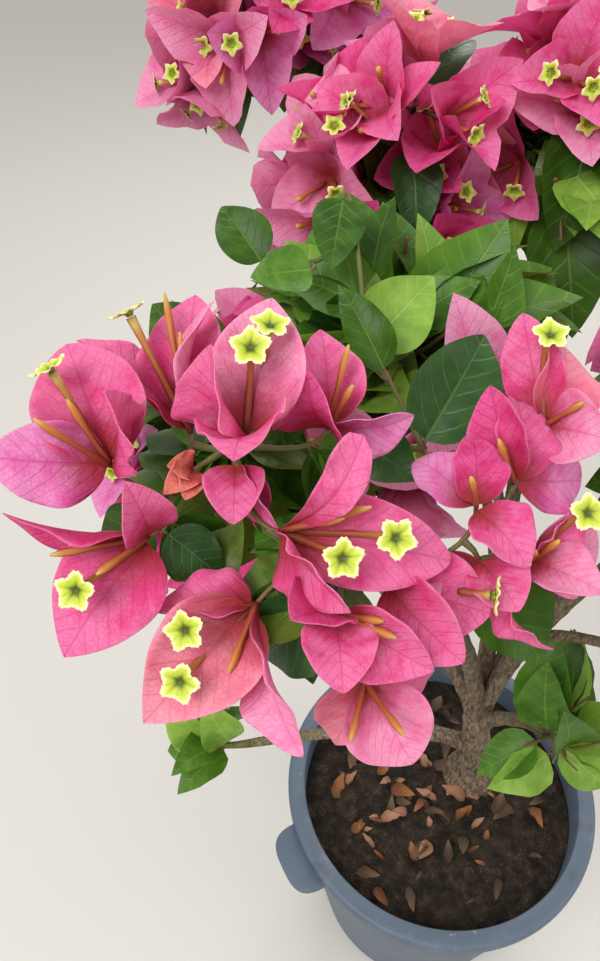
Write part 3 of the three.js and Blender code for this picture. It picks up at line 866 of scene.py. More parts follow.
@dataclass(frozen=True)
class BladeShape:
    """The shape of a leaf or bract in shares of its length and width, base at 0 and tip at 1.

    Its half width follows a power of the way from the base and one of the way to the tip.
    """

    base: float = 0.55
    point: float = 0.85
    cup_left: float = 0.2
    cup_right: float = 0.2
    arch: float = 0.14
    curl: float = 0.0
    twist: float = 0.0
    wave: float = 0.03
    waves: float = 2.3
    phase: float = 0.0
    groove: float = 0.006
    ratio: float = 0.74
    sweep: float = 0.0

    @classmethod
    def drawn(cls, draw: Seeded, ranges: dict[str, tuple[float, float]], **fixed: float) -> "BladeShape":
        """Draws the numbers of a shape in the order of their ranges, beside those that are given."""
        return cls(**{key: draw.between(*limits) for key, limits in ranges.items()}, **fixed)

    def half(self, along: float) -> float:
        """Finds the half width at a share along the blade.

        Args:
            along: The share.

        Returns:
            The half width, at most a half.
        """
        peak = self.base / (self.base + self.point)
        most = peak**self.base * (1 - peak) ** self.point
        return float(0.5 * np.clip(along, 0, 1) ** self.base * np.clip(1 - along, 0, 1) ** self.point / most)

    def form(self, rows: int, columns: int) -> Form:
        """Makes the blade's mesh.

        Args:
            rows: Faces along it.
            columns: Faces across it.

        Returns:
            The form: across, along and up, in shares of width, length and length.
        """
        made = bmesh.new()
        bmesh.ops.create_grid(made, x_segments=columns, y_segments=rows, size=0.5)
        for vert in made.verts:
            vert.co = self.placed(vert.co.x * 2, vert.co.y + 0.5)
        bmesh.ops.remove_doubles(made, verts=made.verts[:], dist=1e-4)
        return Form.of(
            made,
            lambda spot: (0.5 + self.inside(spot) * self.ratio, min(max(spot.y, 0.0), 1.0)),
            lambda spot: min(1.0, abs(self.inside(spot)) / max(self.half(spot.y), 1e-3)),
        )

    def swing(self, along: float) -> float:
        """Returns how far the midrib sweeps sideways, in shares of the blade's width."""
        return self.sweep / self.ratio * 4 * along * (1 - along)

    def inside(self, spot: Vector) -> float:
        """Returns how far a point of the blade lies from its midrib, in shares of its width."""
        return spot.x - self.swing(spot.y)

    def placed(self, across: float, along: float) -> Vector:
        """Finds where a point of the flat blade goes.

        Args:
            across: From -1 on the left edge to 1 on the right.
            along: From 0 at the base to 1 at the tip.

        Returns:
            The point, in shares of width, length and length.
        """
        eased = 0.5 - 0.5 * math.cos(math.pi * along)
        run = 0.35 * eased + 0.65 * along
        wide = across * self.half(run)
        cup = (self.cup_left if across < 0 else self.cup_right) * self.ratio * (2 * wide) ** 2
        ripple = math.sin(self.waves * FULL_TURN * run + self.phase + (1.9 if across < 0 else 0.0))
        rise = cup + self.arch * run * (1 - run) + self.wave * ripple * (2 * wide) ** 2
        rise += self.groove * (1 - math.exp(-((wide / 0.05) ** 2)))
        rise -= self.curl * max(0.0, run - 0.5) ** 2
        turn = self.twist * (run - 0.3)
        rise += wide * self.ratio * math.sin(turn)
        return Vector((self.swing(run) + wide * math.cos(turn), run, rise))


def blade_axes(along: Vector, faces: Vector, width: float) -> tuple[Vector, Vector, Vector]:
    """Returns the axes across, along and up of a blade from base to tip, each with its scale."""
    up = (faces - along * (faces.dot(along) / along.length_squared)).normalized()
    return along.normalized().cross(up) * width, along, up * along.length


def set_blade(
    gathering: Gathering, form: Form, root: Vector, tip: Vector, faces: Vector, width: float, finish: int
) -> None:
    """Adds a leaf or bract of a full width, from its root to its tip."""
    gathering.add(form, blade_axes(tip - root, faces, width), root, finish)


def swept(curve: Bend, radii: Sequence[float], sides: int, ribbed: float = 0.0) -> Form:
    """Sweeps a section along a curve, closed at both ends.

    Args:
        curve: The curve.
        radii: The section's radius at even shares of the curve.
        sides: How many sides the section has.
        ribbed: How far its five ribs stand out, as a share of its radius.

    Returns:
        The form, with its points in place.
    """
    rings = len(radii)
    angles = np.arange(sides) * 2 * np.pi / sides
    outline = (1 + ribbed * np.cos(5 * angles))[:, None]
    points, flat = [np.array(curve.point(0.0)[:])], [(0.5, 0.0)]
    side, _ = cross_axes(curve.tangent(0.5))
    for ring, radius in enumerate(radii):
        share = ring / (rings - 1)
        tangent = curve.tangent(share)
        first = (side - tangent * side.dot(tangent)).normalized()
        second = tangent.cross(first)
        spread = np.outer(np.cos(angles), first[:]) + np.outer(np.sin(angles), second[:])
        points.extend(np.array(curve.point(share)[:]) + radius * outline * spread)
        flat.extend((at / sides, share) for at in range(sides))
    points.append(np.array(curve.point(1.0)[:]))
    flat.append((0.5, 1.0))
    last = len(points) - 1
    faces = []
    for at in range(sides):
        after = (at + 1) % sides
        faces.append((0, 1 + after, 1 + at))
        faces.append((last, last - sides + at, last - sides + after))
        for ring in range(rings - 1):
            low = 1 + ring * sides
            faces.append((low + at, low + after, low + sides + after, low + sides + at))
    corners = np.array([corner for face in faces for corner in face])
    sizes = np.array([len(face) for face in faces])
    return Form(np.array(points), corners, sizes, np.array(flat)[corners], np.zeros(len(points)))


@dataclass(frozen=True)
class Gauge:
    """A twig's radii at the foot and the tip, its sides, and the length of one step along it.

    Its foot swells by a share of the radius there.
    """

    foot: float
    tip: float
    sides: int
    pitch: float
    swell: float = 0.35


def set_twig(gathering: Gathering, curve: Bend, gauge: Gauge) -> None:
    """Adds a tapering twig.

    Args:
        gathering: Where it goes.
        curve: Its course.
        gauge: Its size.
    """
    steps = max(2, round(curve.length() / gauge.pitch))
    swollen = gauge.swell * gauge.foot
    shares = [step / steps for step in range(steps + 1)]
    radii = [
        gauge.foot + (gauge.tip - gauge.foot) * share + swollen * math.exp(-share * steps) for share in shares
    ]
    gathering.add_placed(swept(curve, radii, gauge.sides))


# The plan of the plant


@dataclass(frozen=True)
class MassPlan:
    """A mass of the crown and its bough.

    It has a centre, a reach round it and numbers of flowering and leafy shoots. Its bough leaves
    another limb at a share of that limb's length.
    """

    name: str
    at: Place
    reach: float
    flowering: int
    leafy: int
    parent: str
    share: float
    seed: int = 0


SPRAY_BOUGH = MassPlan("flowering_spray", (-130, -132, 768), 0, 0, 0, "trunk", 0.93)
SPRAY_SPACE = MassPlan("spray_space", (-118, -172, 812), 92, 0, 0, "trunk", 0.93)
MASSES = (
    MassPlan("left", (-165, 20, 650), 86, 5, 3, "trunk", 0.8, 21011),
    MassPlan("top_right", (10, 85, 800), 86, 4, 4, "trunk", 0.97, 72983),
    MassPlan("far_right_top", (122, 40, 782), 90, 6, 2, "trunk", 0.9, 37037),
    MassPlan("front_right_top", (64, -92, 780), 86, 5, 3, "trunk", 0.85, 90411),
    MassPlan("leafy_middle", (-90, -54, 766), 74, 1, 6, "flowering_spray", 0.62, 72766),
    MassPlan("top_left", (-142, 162, 846), 78, 6, 2, "left", 0.6, 22887),
    MassPlan("low_left_back", (-125, 150, 610), 86, 5, 3, "left", 0.45, 48171),
    MassPlan("top_middle", (-78, 78, 792), 80, 5, 3, "top_right", 0.5, 79803),
    MassPlan("back", (78, 185, 750), 88, 5, 3, "top_right", 0.62, 60397),
    MassPlan("back_left", (-66, 192, 740), 84, 5, 3, "top_right", 0.4, 101801),
    MassPlan("right", (192, -36, 655), 88, 5, 3, "far_right_top", 0.42, 15113),
    MassPlan("low_right_back", (176, 132, 640), 88, 5, 3, "far_right_top", 0.52, 84127),
    MassPlan("low_front_right", (118, -118, 610), 78, 4, 3, "front_right_top", 0.45, 33131),
    MassPlan("low_leafy", (42, -58, 470), 60, 0, 6, "trunk", 0.7, 51407),
    MassPlan("low_left_shoot", (-205, 8, 312), 50, 0, 5, "trunk", 0.35, 66151),
)
LEAFY_NODES = ("mass_low_leafy", "mass_low_left_shoot")


@dataclass(frozen=True)
class Limb:
    """A trunk or bough: its course and its radius at a share of it."""

    curve: Bend
    radius_at: Callable[[float], float]


@dataclass
class Skeleton:
    """The trunk and the boughs, by the solids' rule."""

    soil_top: float = 226.3
    foot: tuple[float, float] = (32, 18)
    top: Place = (20, 12, 352)
    trunk_bow: float = 0.5
    flare_radius: float = 25
    trunk_radius: float = 15
    top_radius: float = 11
    flare_fall: float = 7
    end_share: float = 0.62
    follow: float = 0.6
    rise: float = 0.7
    reach_out: float = 0.5
    bow: float = 0.42
    thinner: float = 0.7
    most_radius: float = 8.5
    least_radius: float = 2.6
    taper: float = 0.45
    step: float = 4.0
    trunk_sides: int = 40
    bough_sides: int = 14
    young_from: float = 0.45
    relief: float = 0.5
    full_relief_radius: float = 9
    ridge_scale: Place = (0.16, 0.16, 0.035)
    node_pitch: float = 34.0
    node_at: float = 12.0
    node_spread: float = 3.5
    node_rise: float = 0.07
    limbs: dict[str, Limb] = field(default_factory=dict)

    def trunk_radius_at(self, share: float) -> float:
        """Returns the trunk's radius at a share of its height."""
        flare = (self.flare_radius - self.trunk_radius) * math.exp(-share * self.flare_fall)
        return self.trunk_radius + (self.top_radius - self.trunk_radius) * share + flare

    def grow(self) -> None:
        """Works out the trunk and then each bough from the limb that carries it."""
        foot = Vector((*self.foot, self.soil_top))
        trunk = Bend.leaving(foot, Vector(self.top), UP, self.trunk_bow)
        self.limbs["trunk"] = Limb(trunk, self.trunk_radius_at)
        for plan in (SPRAY_BOUGH, *MASSES):
            parent = self.limbs[plan.parent]
            start = parent.curve.point(plan.share)
            centre = Vector(plan.at)
            outward = (centre - start).normalized()
            end = centre - outward * (plan.reach * self.end_share)
            first = parent.curve.tangent(plan.share) * self.follow + UP * self.rise + outward * self.reach_out
            wide = min(parent.radius_at(plan.share) * self.thinner, self.most_radius)
            thin = max(self.least_radius, wide * self.taper)
            curve = Bend.leaving(start, end, first.normalized(), self.bow)
            self.limbs[plan.name] = Limb(curve, lambda share, a=wide, b=thin: a + (b - a) * share)

    def build(self) -> None:
        """Makes the bark: one piece for the trunk and one for all the boughs."""
        bark = BarkFinish("bark").material()
        trunk = self.limb_mesh(bmesh.new(), self.limbs["trunk"], self.trunk_sides, 0.0)
        piece = piece_from(trunk, "trunk_bark", bark)
        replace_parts(piece, "trunk")
        boughs = bmesh.new()
        for name, limb in self.limbs.items():
            if name != "trunk":
                self.limb_mesh(boughs, limb, self.bough_sides, 1.0)
        piece = piece_from(boughs, "bough_bark", bark)
        names = [f"bough_{name}" for name in self.limbs if name != "trunk"]
        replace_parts(piece, *names)

    def limb_mesh(self, made: bmesh.types.BMesh, limb: Limb, sides: int, young: float) -> bmesh.types.BMesh:
        """Adds one limb as rings drawn out along its course, with the bark's relief.

        Args:
            made: The mesh that it goes into.
            limb: The limb.
            sides: How many sides its section has.
            young: How green its far end is.

        Returns:
            The same mesh.
        """
        greenness = made.verts.layers.float.get("young") or made.verts.layers.float.new("young")
        curve = limb.curve
        steps = max(6, round(curve.length() / self.step))
        across = curve.tangent(0).cross(curve.tangent(1))
        across = across.normalized() if across.length > 1e-4 else cross_axes(curve.tangent(0))[0]

        def ring_frame(share: float) -> Matrix:
            """Finds a ring's place, turn and scale.

            Args:
                share: The ring's share of the limb.

            Returns:
                The matrix of all three.
            """
            tangent = curve.tangent(share)
            normal = across.cross(tangent).normalized()
            radius = limb.radius_at(share)
            turn = Matrix((normal * radius, across * radius, tangent)).transposed().to_4x4()
            return Matrix.Translation(curve.point(share)) @ turn

        foot = ring_frame(0)
        ring = bmesh.ops.create_circle(made, cap_ends=True, segments=sides, radius=1.0, matrix=foot)["verts"]
        edges = list({edge for vert in ring for edge in vert.link_edges})
        limb_verts = list(ring)
        for step in range(1, steps + 1):
            share = step / steps
            drawn = bmesh.ops.extrude_edge_only(made, edges=edges)["geom"]
            ring = of_kind(drawn, bmesh.types.BMVert)
            edges = of_kind(drawn, bmesh.types.BMEdge)
            move = ring_frame(share) @ ring_frame((step - 1) / steps).inverted()
            bmesh.ops.transform(made, matrix=move, verts=ring)
            for vert in ring:
                vert[greenness] = young * max(0.0, share - self.young_from)
            limb_verts += ring
        bmesh.ops.edgeloop_fill(made, edges=edges)
        self.roughen(limb, limb_verts, sides)
        faces = list({face for vert in limb_verts for face in vert.link_faces})
        bmesh.ops.recalc_face_normals(made, faces=faces)
        return made

    def roughen(self, limb: Limb, verts: Sequence[bmesh.types.BMVert], sides: int) -> None:
        """Raises ridges and leaf nodes on a limb's rings.

        Args:
            limb: The limb.
            verts: Its vertices, ring by ring.
            sides: How many there are to a ring.
        """
        steps = len(verts) // sides - 1
        length = limb.curve.length()
        for at, vert in enumerate(verts):
            share = (at // sides) / steps
            radius = limb.radius_at(share)
            spot = Vector([value * scale for value, scale in zip(vert.co, self.ridge_scale)])
            ridge = noise.noise(spot) + 0.5 * noise.noise(spot * 2.7)
            past = (share * length) % self.node_pitch - self.node_at
            node = self.node_rise * radius * math.exp(-((past / self.node_spread) ** 2))
            rise = self.relief * min(1.0, radius / self.full_relief_radius) * ridge + node
            vert.co += (vert.co - limb.curve.point(share)).normalized() * rise


@dataclass
class CrownSpace:
    """The spaces of the masses: a point belongs to the one that it lies nearest, by their reaches."""

    gap: float = 0.3
    centres: np.ndarray = field(init=False)
    reaches: np.ndarray = field(init=False)

    def __post_init__(self) -> None:
        """Keeps the masses' centres and reaches as arrays."""
        plans = (SPRAY_SPACE, *MASSES)
        self.centres = np.array([plan.at for plan in plans], dtype=float)
        self.reaches = np.array([plan.reach for plan in plans], dtype=float)

    def holds(self, number: int, points: Iterable[Vector], beyond: float = 4.0) -> bool:
        """Tells whether points lie in a mass's space and within its reach.

        Args:
            number: The mass's number, with the flowering spray as 0.
            points: The points.
            beyond: How far past the reach a point may lie.

        Returns:
            True if all of them do.
        """
        spots = np.array([point[:] for point in points])
        power = ((spots[:, None, :] - self.centres) ** 2).sum(axis=2) - self.reaches**2
        apart = np.linalg.norm(self.centres - self.centres[number], axis=1)
        margin = power - power[:, [number]] - 2 * self.gap * apart
        margin[:, number] = 1.0
        near = power[:, number] <= (2 * self.reaches[number] + beyond) * beyond
        return bool((margin > 0).all() and near.all())


# Foliage


@dataclass(frozen=True)
class Shoot:
    """A shoot of a mass: its course, where it points, and what it bears."""

    curve: Bend
    out: Vector
    axis: Vector
    flowers: bool
    roll: float
    openness: float
    size: float


@dataclass(frozen=True)
class CrownLeaf:
    """A leaf of the crown before it is set: its form, the place of its stalk, and its size and tint."""

    form: Form
    root: Vector
    along: Vector
    faces: Vector
    length: float
    width: float
    tint: int


CROWN_BRACT = dict(
    cup_left=(0.12, 0.4), cup_right=(0.12, 0.4), arch=(0.05, 0.25), curl=(-0.2, 0.5), twist=(-0.5, 0.5),
    wave=(0.03, 0.07), phase=(0, 6),
)
CROWN_LEAF = dict(
    cup_left=(0.05, 0.35), cup_right=(0.05, 0.35), arch=(0.0, 0.3), curl=(0.0, 0.7), twist=(-0.4, 0.4),
    wave=(0.01, 0.05), phase=(0, 6),
)
LEAF_STALK = Gauge(0.75, 0.6, 3, 6.0)


@dataclass
class Foliage:
    """All the crown's small things, with the forms that they are dealt from."""

    leaf_length: float = 56.0
    leaf_ratio: float = 0.62
    bract_length: float = 39.0
    bract_ratio: float = 0.74
    flower_length: float = 19.0
    leaf_grid: tuple[int, int] = (9, 4)
    bract_grid: tuple[int, int] = (9, 6)
    flower_steps: int = 20
    bud_steps: int = 6
    flower_notch: float = 0.52
    variants: int = 10
    seed: int = 5
    bracts_to_bloom: int = 3
    open_share: float = 0.42
    closed_share: float = 0.6
    stalk_share: float = 0.09
    blade_share: float = 0.95
    leaf_scales: tuple[float, ...] = (1.0, 0.85, 0.7)
    leaf_bends: tuple[float, ...] = (0.0, 0.25, -0.25, 0.5, 0.9)
    leaf_turns: tuple[float, ...] = (0.0, 0.35, -0.35)
    planned: list[CrownLeaf] = field(default_factory=list)

    def __post_init__(self) -> None:
        """Makes the forms and the empty gatherings."""
        self.bracts = Gathering("crown_bracts", Slot.BLOOMS, BRACT_FINISHES)
        self.leaves = Gathering("crown_leaves", Slot.LEAVES, LEAF_FINISHES)
        self.flowers = Gathering("crown_flowers", Slot.BLOOMS, [STAR])
        self.buds = Gathering("crown_closed_flowers", Slot.BLOOMS, [BUD])
        self.twigs = Gathering("crown_twigs", Slot.BARK, [GREEN_TWIG])
        draw = Seeded(self.seed)
        self.bract_forms = [
            BladeShape.drawn(draw, CROWN_BRACT, ratio=self.bract_ratio).form(*self.bract_grid)
            for _ in range(self.variants)
        ]
        leaf = {"base": 0.5, "point": 0.95, "ratio": self.leaf_ratio}
        self.leaf_forms = [
            BladeShape.drawn(draw, CROWN_LEAF, **leaf).form(*self.leaf_grid) for _ in range(self.variants)
        ]
        self.flower_form = FlowerShape(notch=self.flower_notch).form(self.flower_steps)
        self.bud_form = FlowerShape().bud_form(self.bud_steps)

    def plan_leaf(
        self, root: Vector, along: Vector, faces: Vector, length: float, tint: int, draw: Seeded
    ) -> None:
        """Plans a leaf on a short stalk, along a unit direction, in a form and width of its own."""
        form, width = draw.pick(self.leaf_forms), length * self.leaf_ratio * draw.between(0.88, 1.1)
        self.planned.append(CrownLeaf(form, root, along, faces, length, width, tint))

    def set_leaves(self) -> None:
        """Sets the planned leaves, each bent back, smaller or left out where it would cut a bloom."""
        blooms = [gathering.faces_tree() for gathering in (self.bracts, self.flowers, self.buds)]
        for leaf in self.planned:
            aside = leaf.along.cross(leaf.faces).normalized()
            for scale, back, turn in itertools.product(self.leaf_scales, self.leaf_bends, self.leaf_turns):
                length = leaf.length * scale
                along = (leaf.along - leaf.faces * back + aside * turn).normalized()
                foot = leaf.root + along * (self.stalk_share * length)
                tip = foot + along * length * self.blade_share
                axes = blade_axes(tip - foot, leaf.faces, leaf.width * scale)
                shape = BVHTree.FromPolygons(leaf.form.moved(axes, foot).tolist(), leaf.form.faces(0))
                if not any(tree.overlap(shape) for tree in blooms):
                    self.leaves.add(leaf.form, axes, foot, leaf.tint)
                    stalk = Bend.leaving(leaf.root, foot + along * 1.5, along, 0.5)
                    set_twig(self.twigs, stalk, LEAF_STALK)
                    break

    def add_bloom(
        self, root: Vector, axis: Vector, roll: float, openness: float, tint: int, draw: Seeded
    ) -> None:
        """Adds a bloom: three bracts round an axis, each with its flower.

        Args:
            root: Where the bracts meet.
            axis: The unit direction that the bloom faces.
            roll: Its turn round the axis.
            openness: The angle of its bracts to the axis.
            tint: The number of its tint.
            draw: Numbers for its forms and flowers.
        """
        other = cross_axes(axis)[1]
        for at in range(self.bracts_to_bloom):
            out = around(axis, roll + at * FULL_TURN / self.bracts_to_bloom + draw.between(-0.16, 0.16))
            lean = openness + draw.between(-0.14, 0.18)
            along = axis * math.cos(lean) + out * math.sin(lean)
            faces = axis * math.sin(lean) - out * math.cos(lean)
            faces = (faces + other * draw.between(-0.2, 0.2)).normalized()
            length = self.bract_length * draw.between(0.9, 1.1)
            form = draw.pick(self.bract_forms)
            width = length * self.bract_ratio * draw.between(0.92, 1.08)
            set_blade(self.bracts, form, root, root + along * length, faces, width, tint)
            foot = root + along * 3 + faces * 0.8
            rise = (along + axis * 0.75).normalized()
            if draw.draw() < self.open_share:
                self.add_flower(self.flowers, self.flower_form, foot, rise)
            elif draw.draw() < self.closed_share:
                self.add_flower(self.buds, self.bud_form, foot, rise)

    def add_flower(self, gathering: Gathering, form: Form, foot: Vector, rise: Vector) -> None:
        """Adds an open or closed flower that stands on its foot in a unit direction."""
        axes = [axis * self.flower_length for axis in (*cross_axes(rise), rise)]
        gathering.add(form, axes, foot, 0)

    def build(self) -> None:
        """Joins all the small things and names the masses that they stand for."""
        self.set_leaves()
        log.info("crown leaves: %d planned, %d set", len(self.planned), len(self.leaves.things))
        nodes = [f"mass_{plan.name}" for plan in MASSES]
        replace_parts(self.bracts.build()[0], *(node for node in nodes if node not in LEAFY_NODES))
        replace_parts(self.leaves.build()[0], *LEAFY_NODES)
        for gathering in (self.flowers, self.buds, self.twigs):
            gathering.build()


@dataclass(frozen=True)
class FlowerShape:
    """An open flower, a unit long: a slim tube that widens into a crimped star with five points."""

    tube: Profile = ((0.0, 0.0), (0.06, 0.1), (0.055, 0.5), (0.05, 0.74), (0.085, 0.95))
    star: Profile = ((0.35, 0.985), (0.355, 1.0), (0.2, 0.985), (0.085, 0.95), (0.0, 0.9))
    bud: Profile = ((0, 0), (0.06, 0.12), (0.05, 0.5), (0.055, 0.72), (0.085, 0.88), (0.06, 0.97), (0, 1))
    notch: float = 0.38
    split: float = 0.1
    ruffle: float = 0.035
    crimp: float = 0.02
    throat: float = 0.06
    head_foot: float = 0.95

    def form(self, steps: int) -> Form:
        """Makes the flower with some steps round it."""
        return self.lobed(Form.of(lathe((*self.tube, *self.star), steps), self.mapped))

    def head_form(self, steps: int) -> Form:
        """Makes the star alone, with its throat at the origin.

        Args:
            steps: How many steps it has round it.

        Returns:
            The form.
        """
        profile = (*self.tube[-1:], *self.star)
        rings = [
            (r0 + (r1 - r0) * at / 3, z0 + (z1 - z0) * at / 3)
            for (r0, z0), (r1, z1) in zip(profile, profile[1:])
            for at in range(3)
        ]
        section = [(0.0, 0.89), (0.05, 0.89), *rings, profile[-1]]
        form = self.lobed(Form.of(lathe(section, steps), self.mapped))
        form.points[:, 2] -= self.head_foot
        return form

    def bud_form(self, steps: int) -> Form:
        """Makes the closed flower with some steps round it."""
        return Form.of(lathe(self.bud, steps), lambda spot: (0.5, spot.z))

    def lobed(self, form: Form) -> Form:
        """Draws the star in between its five points and ruffles its edge.

        Args:
            form: The round flower.

        Returns:
            The same form.
        """
        across, along, up = form.points.T
        spread = np.hypot(across, along)
        angle = np.arctan2(along, across)
        outer = np.clip((spread - self.throat) / (self.star[1][0] - self.throat), 0, 1)
        gap = np.abs(((angle * 5 / (2 * np.pi) + 0.5) % 1.0) - 0.5) * 2
        tip = self.split * np.exp(-((gap / 0.13) ** 2))
        ruffles = self.ruffle * np.cos(angle * 25)
        shrink = 1 - outer**0.7 * (self.notch * gap**0.85 + tip + ruffles * outer)
        lift = self.crimp * outer * np.cos(angle * 10)
        form.points[:] = np.stack([across * shrink, along * shrink, up + lift], axis=1)
        return form

    def mapped(self, spot: Vector) -> tuple[float, float]:
        """Finds a point's place on the map: the tube in the lower part, the star above, rim to throat.

        Args:
            spot: The point.

        Returns:
            Its map coordinates.
        """
        spread = math.hypot(spot.x, spot.y)
        if spread < self.throat and spot.z > 0.88:
            return 0.5, 1.0
        if spread > 0.086 or spot.z > 0.93:
            outer = min(1.0, (spread - self.throat) / (self.star[1][0] - self.throat))
            fold = max(0.0, math.cos(5 * math.atan2(spot.y, spot.x)))
            return 0.5, 0.94 - 0.28 * outer + 0.07 * fold * (1 - outer)
        return 0.5, 0.6 * spot.z


@dataclass(frozen=True)
class LeafRule:
    """How a mass bears its leaves: the numbers of leaves and side twigs, and the leaves' sizes.

    Leaves may go some way beyond the reach. One that doesn't fit is made smaller for a few tries,
    and what fits then grows. Plain and flowering shoots have their own greens.
    """

    on_shoot: int
    on_side_twig: int
    side_twigs: int
    sizes: tuple[float, float]
    beyond: float
    tries: int
    growth: float
    greens: tuple[int, ...]
    flowering_greens: tuple[int, ...]


FLOWERING = LeafRule(7, 4, 4, (0.62, 1.08), 4.0, 1, 1.12, (0, 0, 1, 2, 2, 3, 4), (0, 1, 2, 2, 3))
LEAFY = LeafRule(3, 1, 1, (1.25, 1.6), 8.0, 4, 1.0, (2, 4, 2, 3, 4), (2, 4, 2, 3, 4))
ALL_TINTS = (0, 1, 2, 3, 4)
SHOOT_TINTS = (0, 0, 1, 2, 2, 3, 4)
SHOOT_TWIG = Gauge(1.9, 1.1, 5, 9.0)
SIDE_TWIG = Gauge(1.2, 0.8, 4, 9.0)
CLUSTER_TWIG = Gauge(1.0, 0.8, 4, 9.0)


@dataclass
class CrownMass:
    """One mass of the crown, grown by the solids' rule and carried on to finer twigs."""

    plan: MassPlan
    number: int
    limb: Limb
    space: CrownSpace
    foliage: Foliage
    gap: float = 0.3
    heart: Place = (15, 15, 520)
    stem_rise: float = 0.35
    stem_reach: float = 0.3
    stem_bow: float = 0.5
    first_share: float = 0.2
    share_range: float = 0.75
    spread: float = 1.15
    arch: float = 0.35
    bloom_size: float = 50.0
    leaf_size: float = 62.0
    least_openness: float = 0.95
    openness_range: float = 0.25
    least_size: float = 0.9
    size_range: float = 0.2
    least_reach: float = 0.84
    reach_range: float = 0.16
    shortest: float = 0.4
    shortening: float = 0.94
    leaf_turn: float = 2.4
    leaf_shrink: float = 0.88
    blooms_at_tip: int = 3
    cluster_radius: float = 15.0
    flowering_side_share: float = 0.75

    def __post_init__(self) -> None:
        """Chooses the rule for its leaves."""
        self.rule = FLOWERING if self.plan.flowering else LEAFY

    def grow(self) -> tuple[Bend, list[Shoot]]:
        """Grows the stem and the main shoots.

        Returns:
            The stem and the shoots.
        """
        plan, draw = self.plan, Seeded(self.plan.seed)
        centre = Vector(plan.at)
        axis = ((centre - Vector(self.heart)).normalized() + UP * self.stem_rise).normalized()
        inward = self.limb.curve.tangent(1)
        start = self.limb.curve.point(1) + inward * self.gap
        stem = Bend.leaving(start, centre + axis * (plan.reach * self.stem_reach), inward, self.stem_bow)
        count = plan.flowering + plan.leafy
        turn = draw.draw() * FULL_TURN
        shoots = []
        for k in range(count):
            share = self.first_share + self.share_range * (1 - (k + 0.5) / count)
            flowers = (k + 1) * plan.flowering // count > k * plan.flowering // count
            out = self.spread_direction(axis, k, count, turn)
            first = (stem.tangent(share) + UP * self.stem_rise).normalized()
            roll = draw.draw() * FULL_TURN
            openness = self.least_openness + self.openness_range * draw.draw()
            size = self.least_size + self.size_range * draw.draw()
            reach = plan.reach * (self.least_reach + self.reach_range * draw.draw())
            # The first try below gives it a course and an axis of its own.
            shoot = Shoot(stem, out, out, flowers, roll, openness, size)
            while True:
                shoot = self.reaching(shoot, stem.point(share), first, reach)
                if reach <= plan.reach * self.shortest or self.keeps_in(shoot):
                    break
                reach *= self.shortening
            shoots.append(shoot)
        return stem, shoots

    def spread_direction(self, axis: Vector, k: int, count: int, turn: float) -> Vector:
        """Spreads directions evenly round an axis.

        Args:
            axis: The axis.
            k: The direction's number.
            count: How many there are.
            turn: The turn of them all.

        Returns:
            The unit direction.
        """
        cosine = 1 - ((k + 0.5) / count) * self.spread
        sine = math.sqrt(max(0.0, 1 - cosine * cosine))
        angle = k * GOLDEN_ANGLE + turn
        side, other = cross_axes(axis)
        out = axis * cosine + side * (sine * math.cos(angle)) + other * (sine * math.sin(angle))
        return out.normalized()

    def reaching(self, shoot: Shoot, start: Vector, first: Vector, reach: float) -> Shoot:
        """Bends a shoot from the stem out to a reach from the mass's centre.

        Args:
            shoot: The shoot.
            start: Where it leaves the stem.
            first: Its direction there.
            reach: How far it and its blade reach.

        Returns:
            The same shoot on its new course.
        """
        blade = self.bloom_size if shoot.flowers else self.leaf_size
        tip = Vector(self.plan.at) + shoot.out * (reach - blade * 0.5)
        curve = Bend.leaving(start, tip, first, self.arch)
        return replace(shoot, curve=curve, axis=(curve.tangent(1) * 0.4 + shoot.out * 0.9).normalized())

    def keeps_in(self, shoot: Shoot) -> bool:
        """Tells whether a shoot's tip, and its bracts if it flowers, lie in the mass's space.

        Args:
            shoot: The shoot.

        Returns:
            True if they do.
        """
        spots = [shoot.curve.end]
        if shoot.flowers:
            for at in range(3):
                out = around(shoot.axis, shoot.roll + at * FULL_TURN / 3)
                along = shoot.axis * math.cos(shoot.openness) + out * math.sin(shoot.openness)
                spots.append(shoot.curve.end + along * (self.bloom_size * shoot.size))
        return self.space.holds(self.number, spots, beyond=60.0)

    def dress(self) -> None:
        """Adds the mass's twigs, leaves and blooms."""
        stem, shoots = self.grow()
        draw = Seeded(self.plan.seed + 1000)
        twigs, rule = self.foliage.twigs, self.rule
        set_twig(twigs, stem, Gauge(self.limb.radius_at(1), SHOOT_TWIG.foot, 9, 8.0, swell=0.0))
        for shoot in shoots:
            set_twig(twigs, shoot.curve, SHOOT_TWIG)
            green = draw.pick(rule.flowering_greens if shoot.flowers else rule.greens)
            tint = draw.pick(SHOOT_TINTS)
            self.clothe(shoot, shoot.curve, rule.on_shoot, green, draw)
            if shoot.flowers:
                tip = shoot.curve.end
                self.cluster(tip, shoot.axis, shoot.roll, shoot.openness, self.blooms_at_tip, tint, draw)
            for k in range(rule.side_twigs):
                self.side_twig(shoot, k, green, tint, draw)

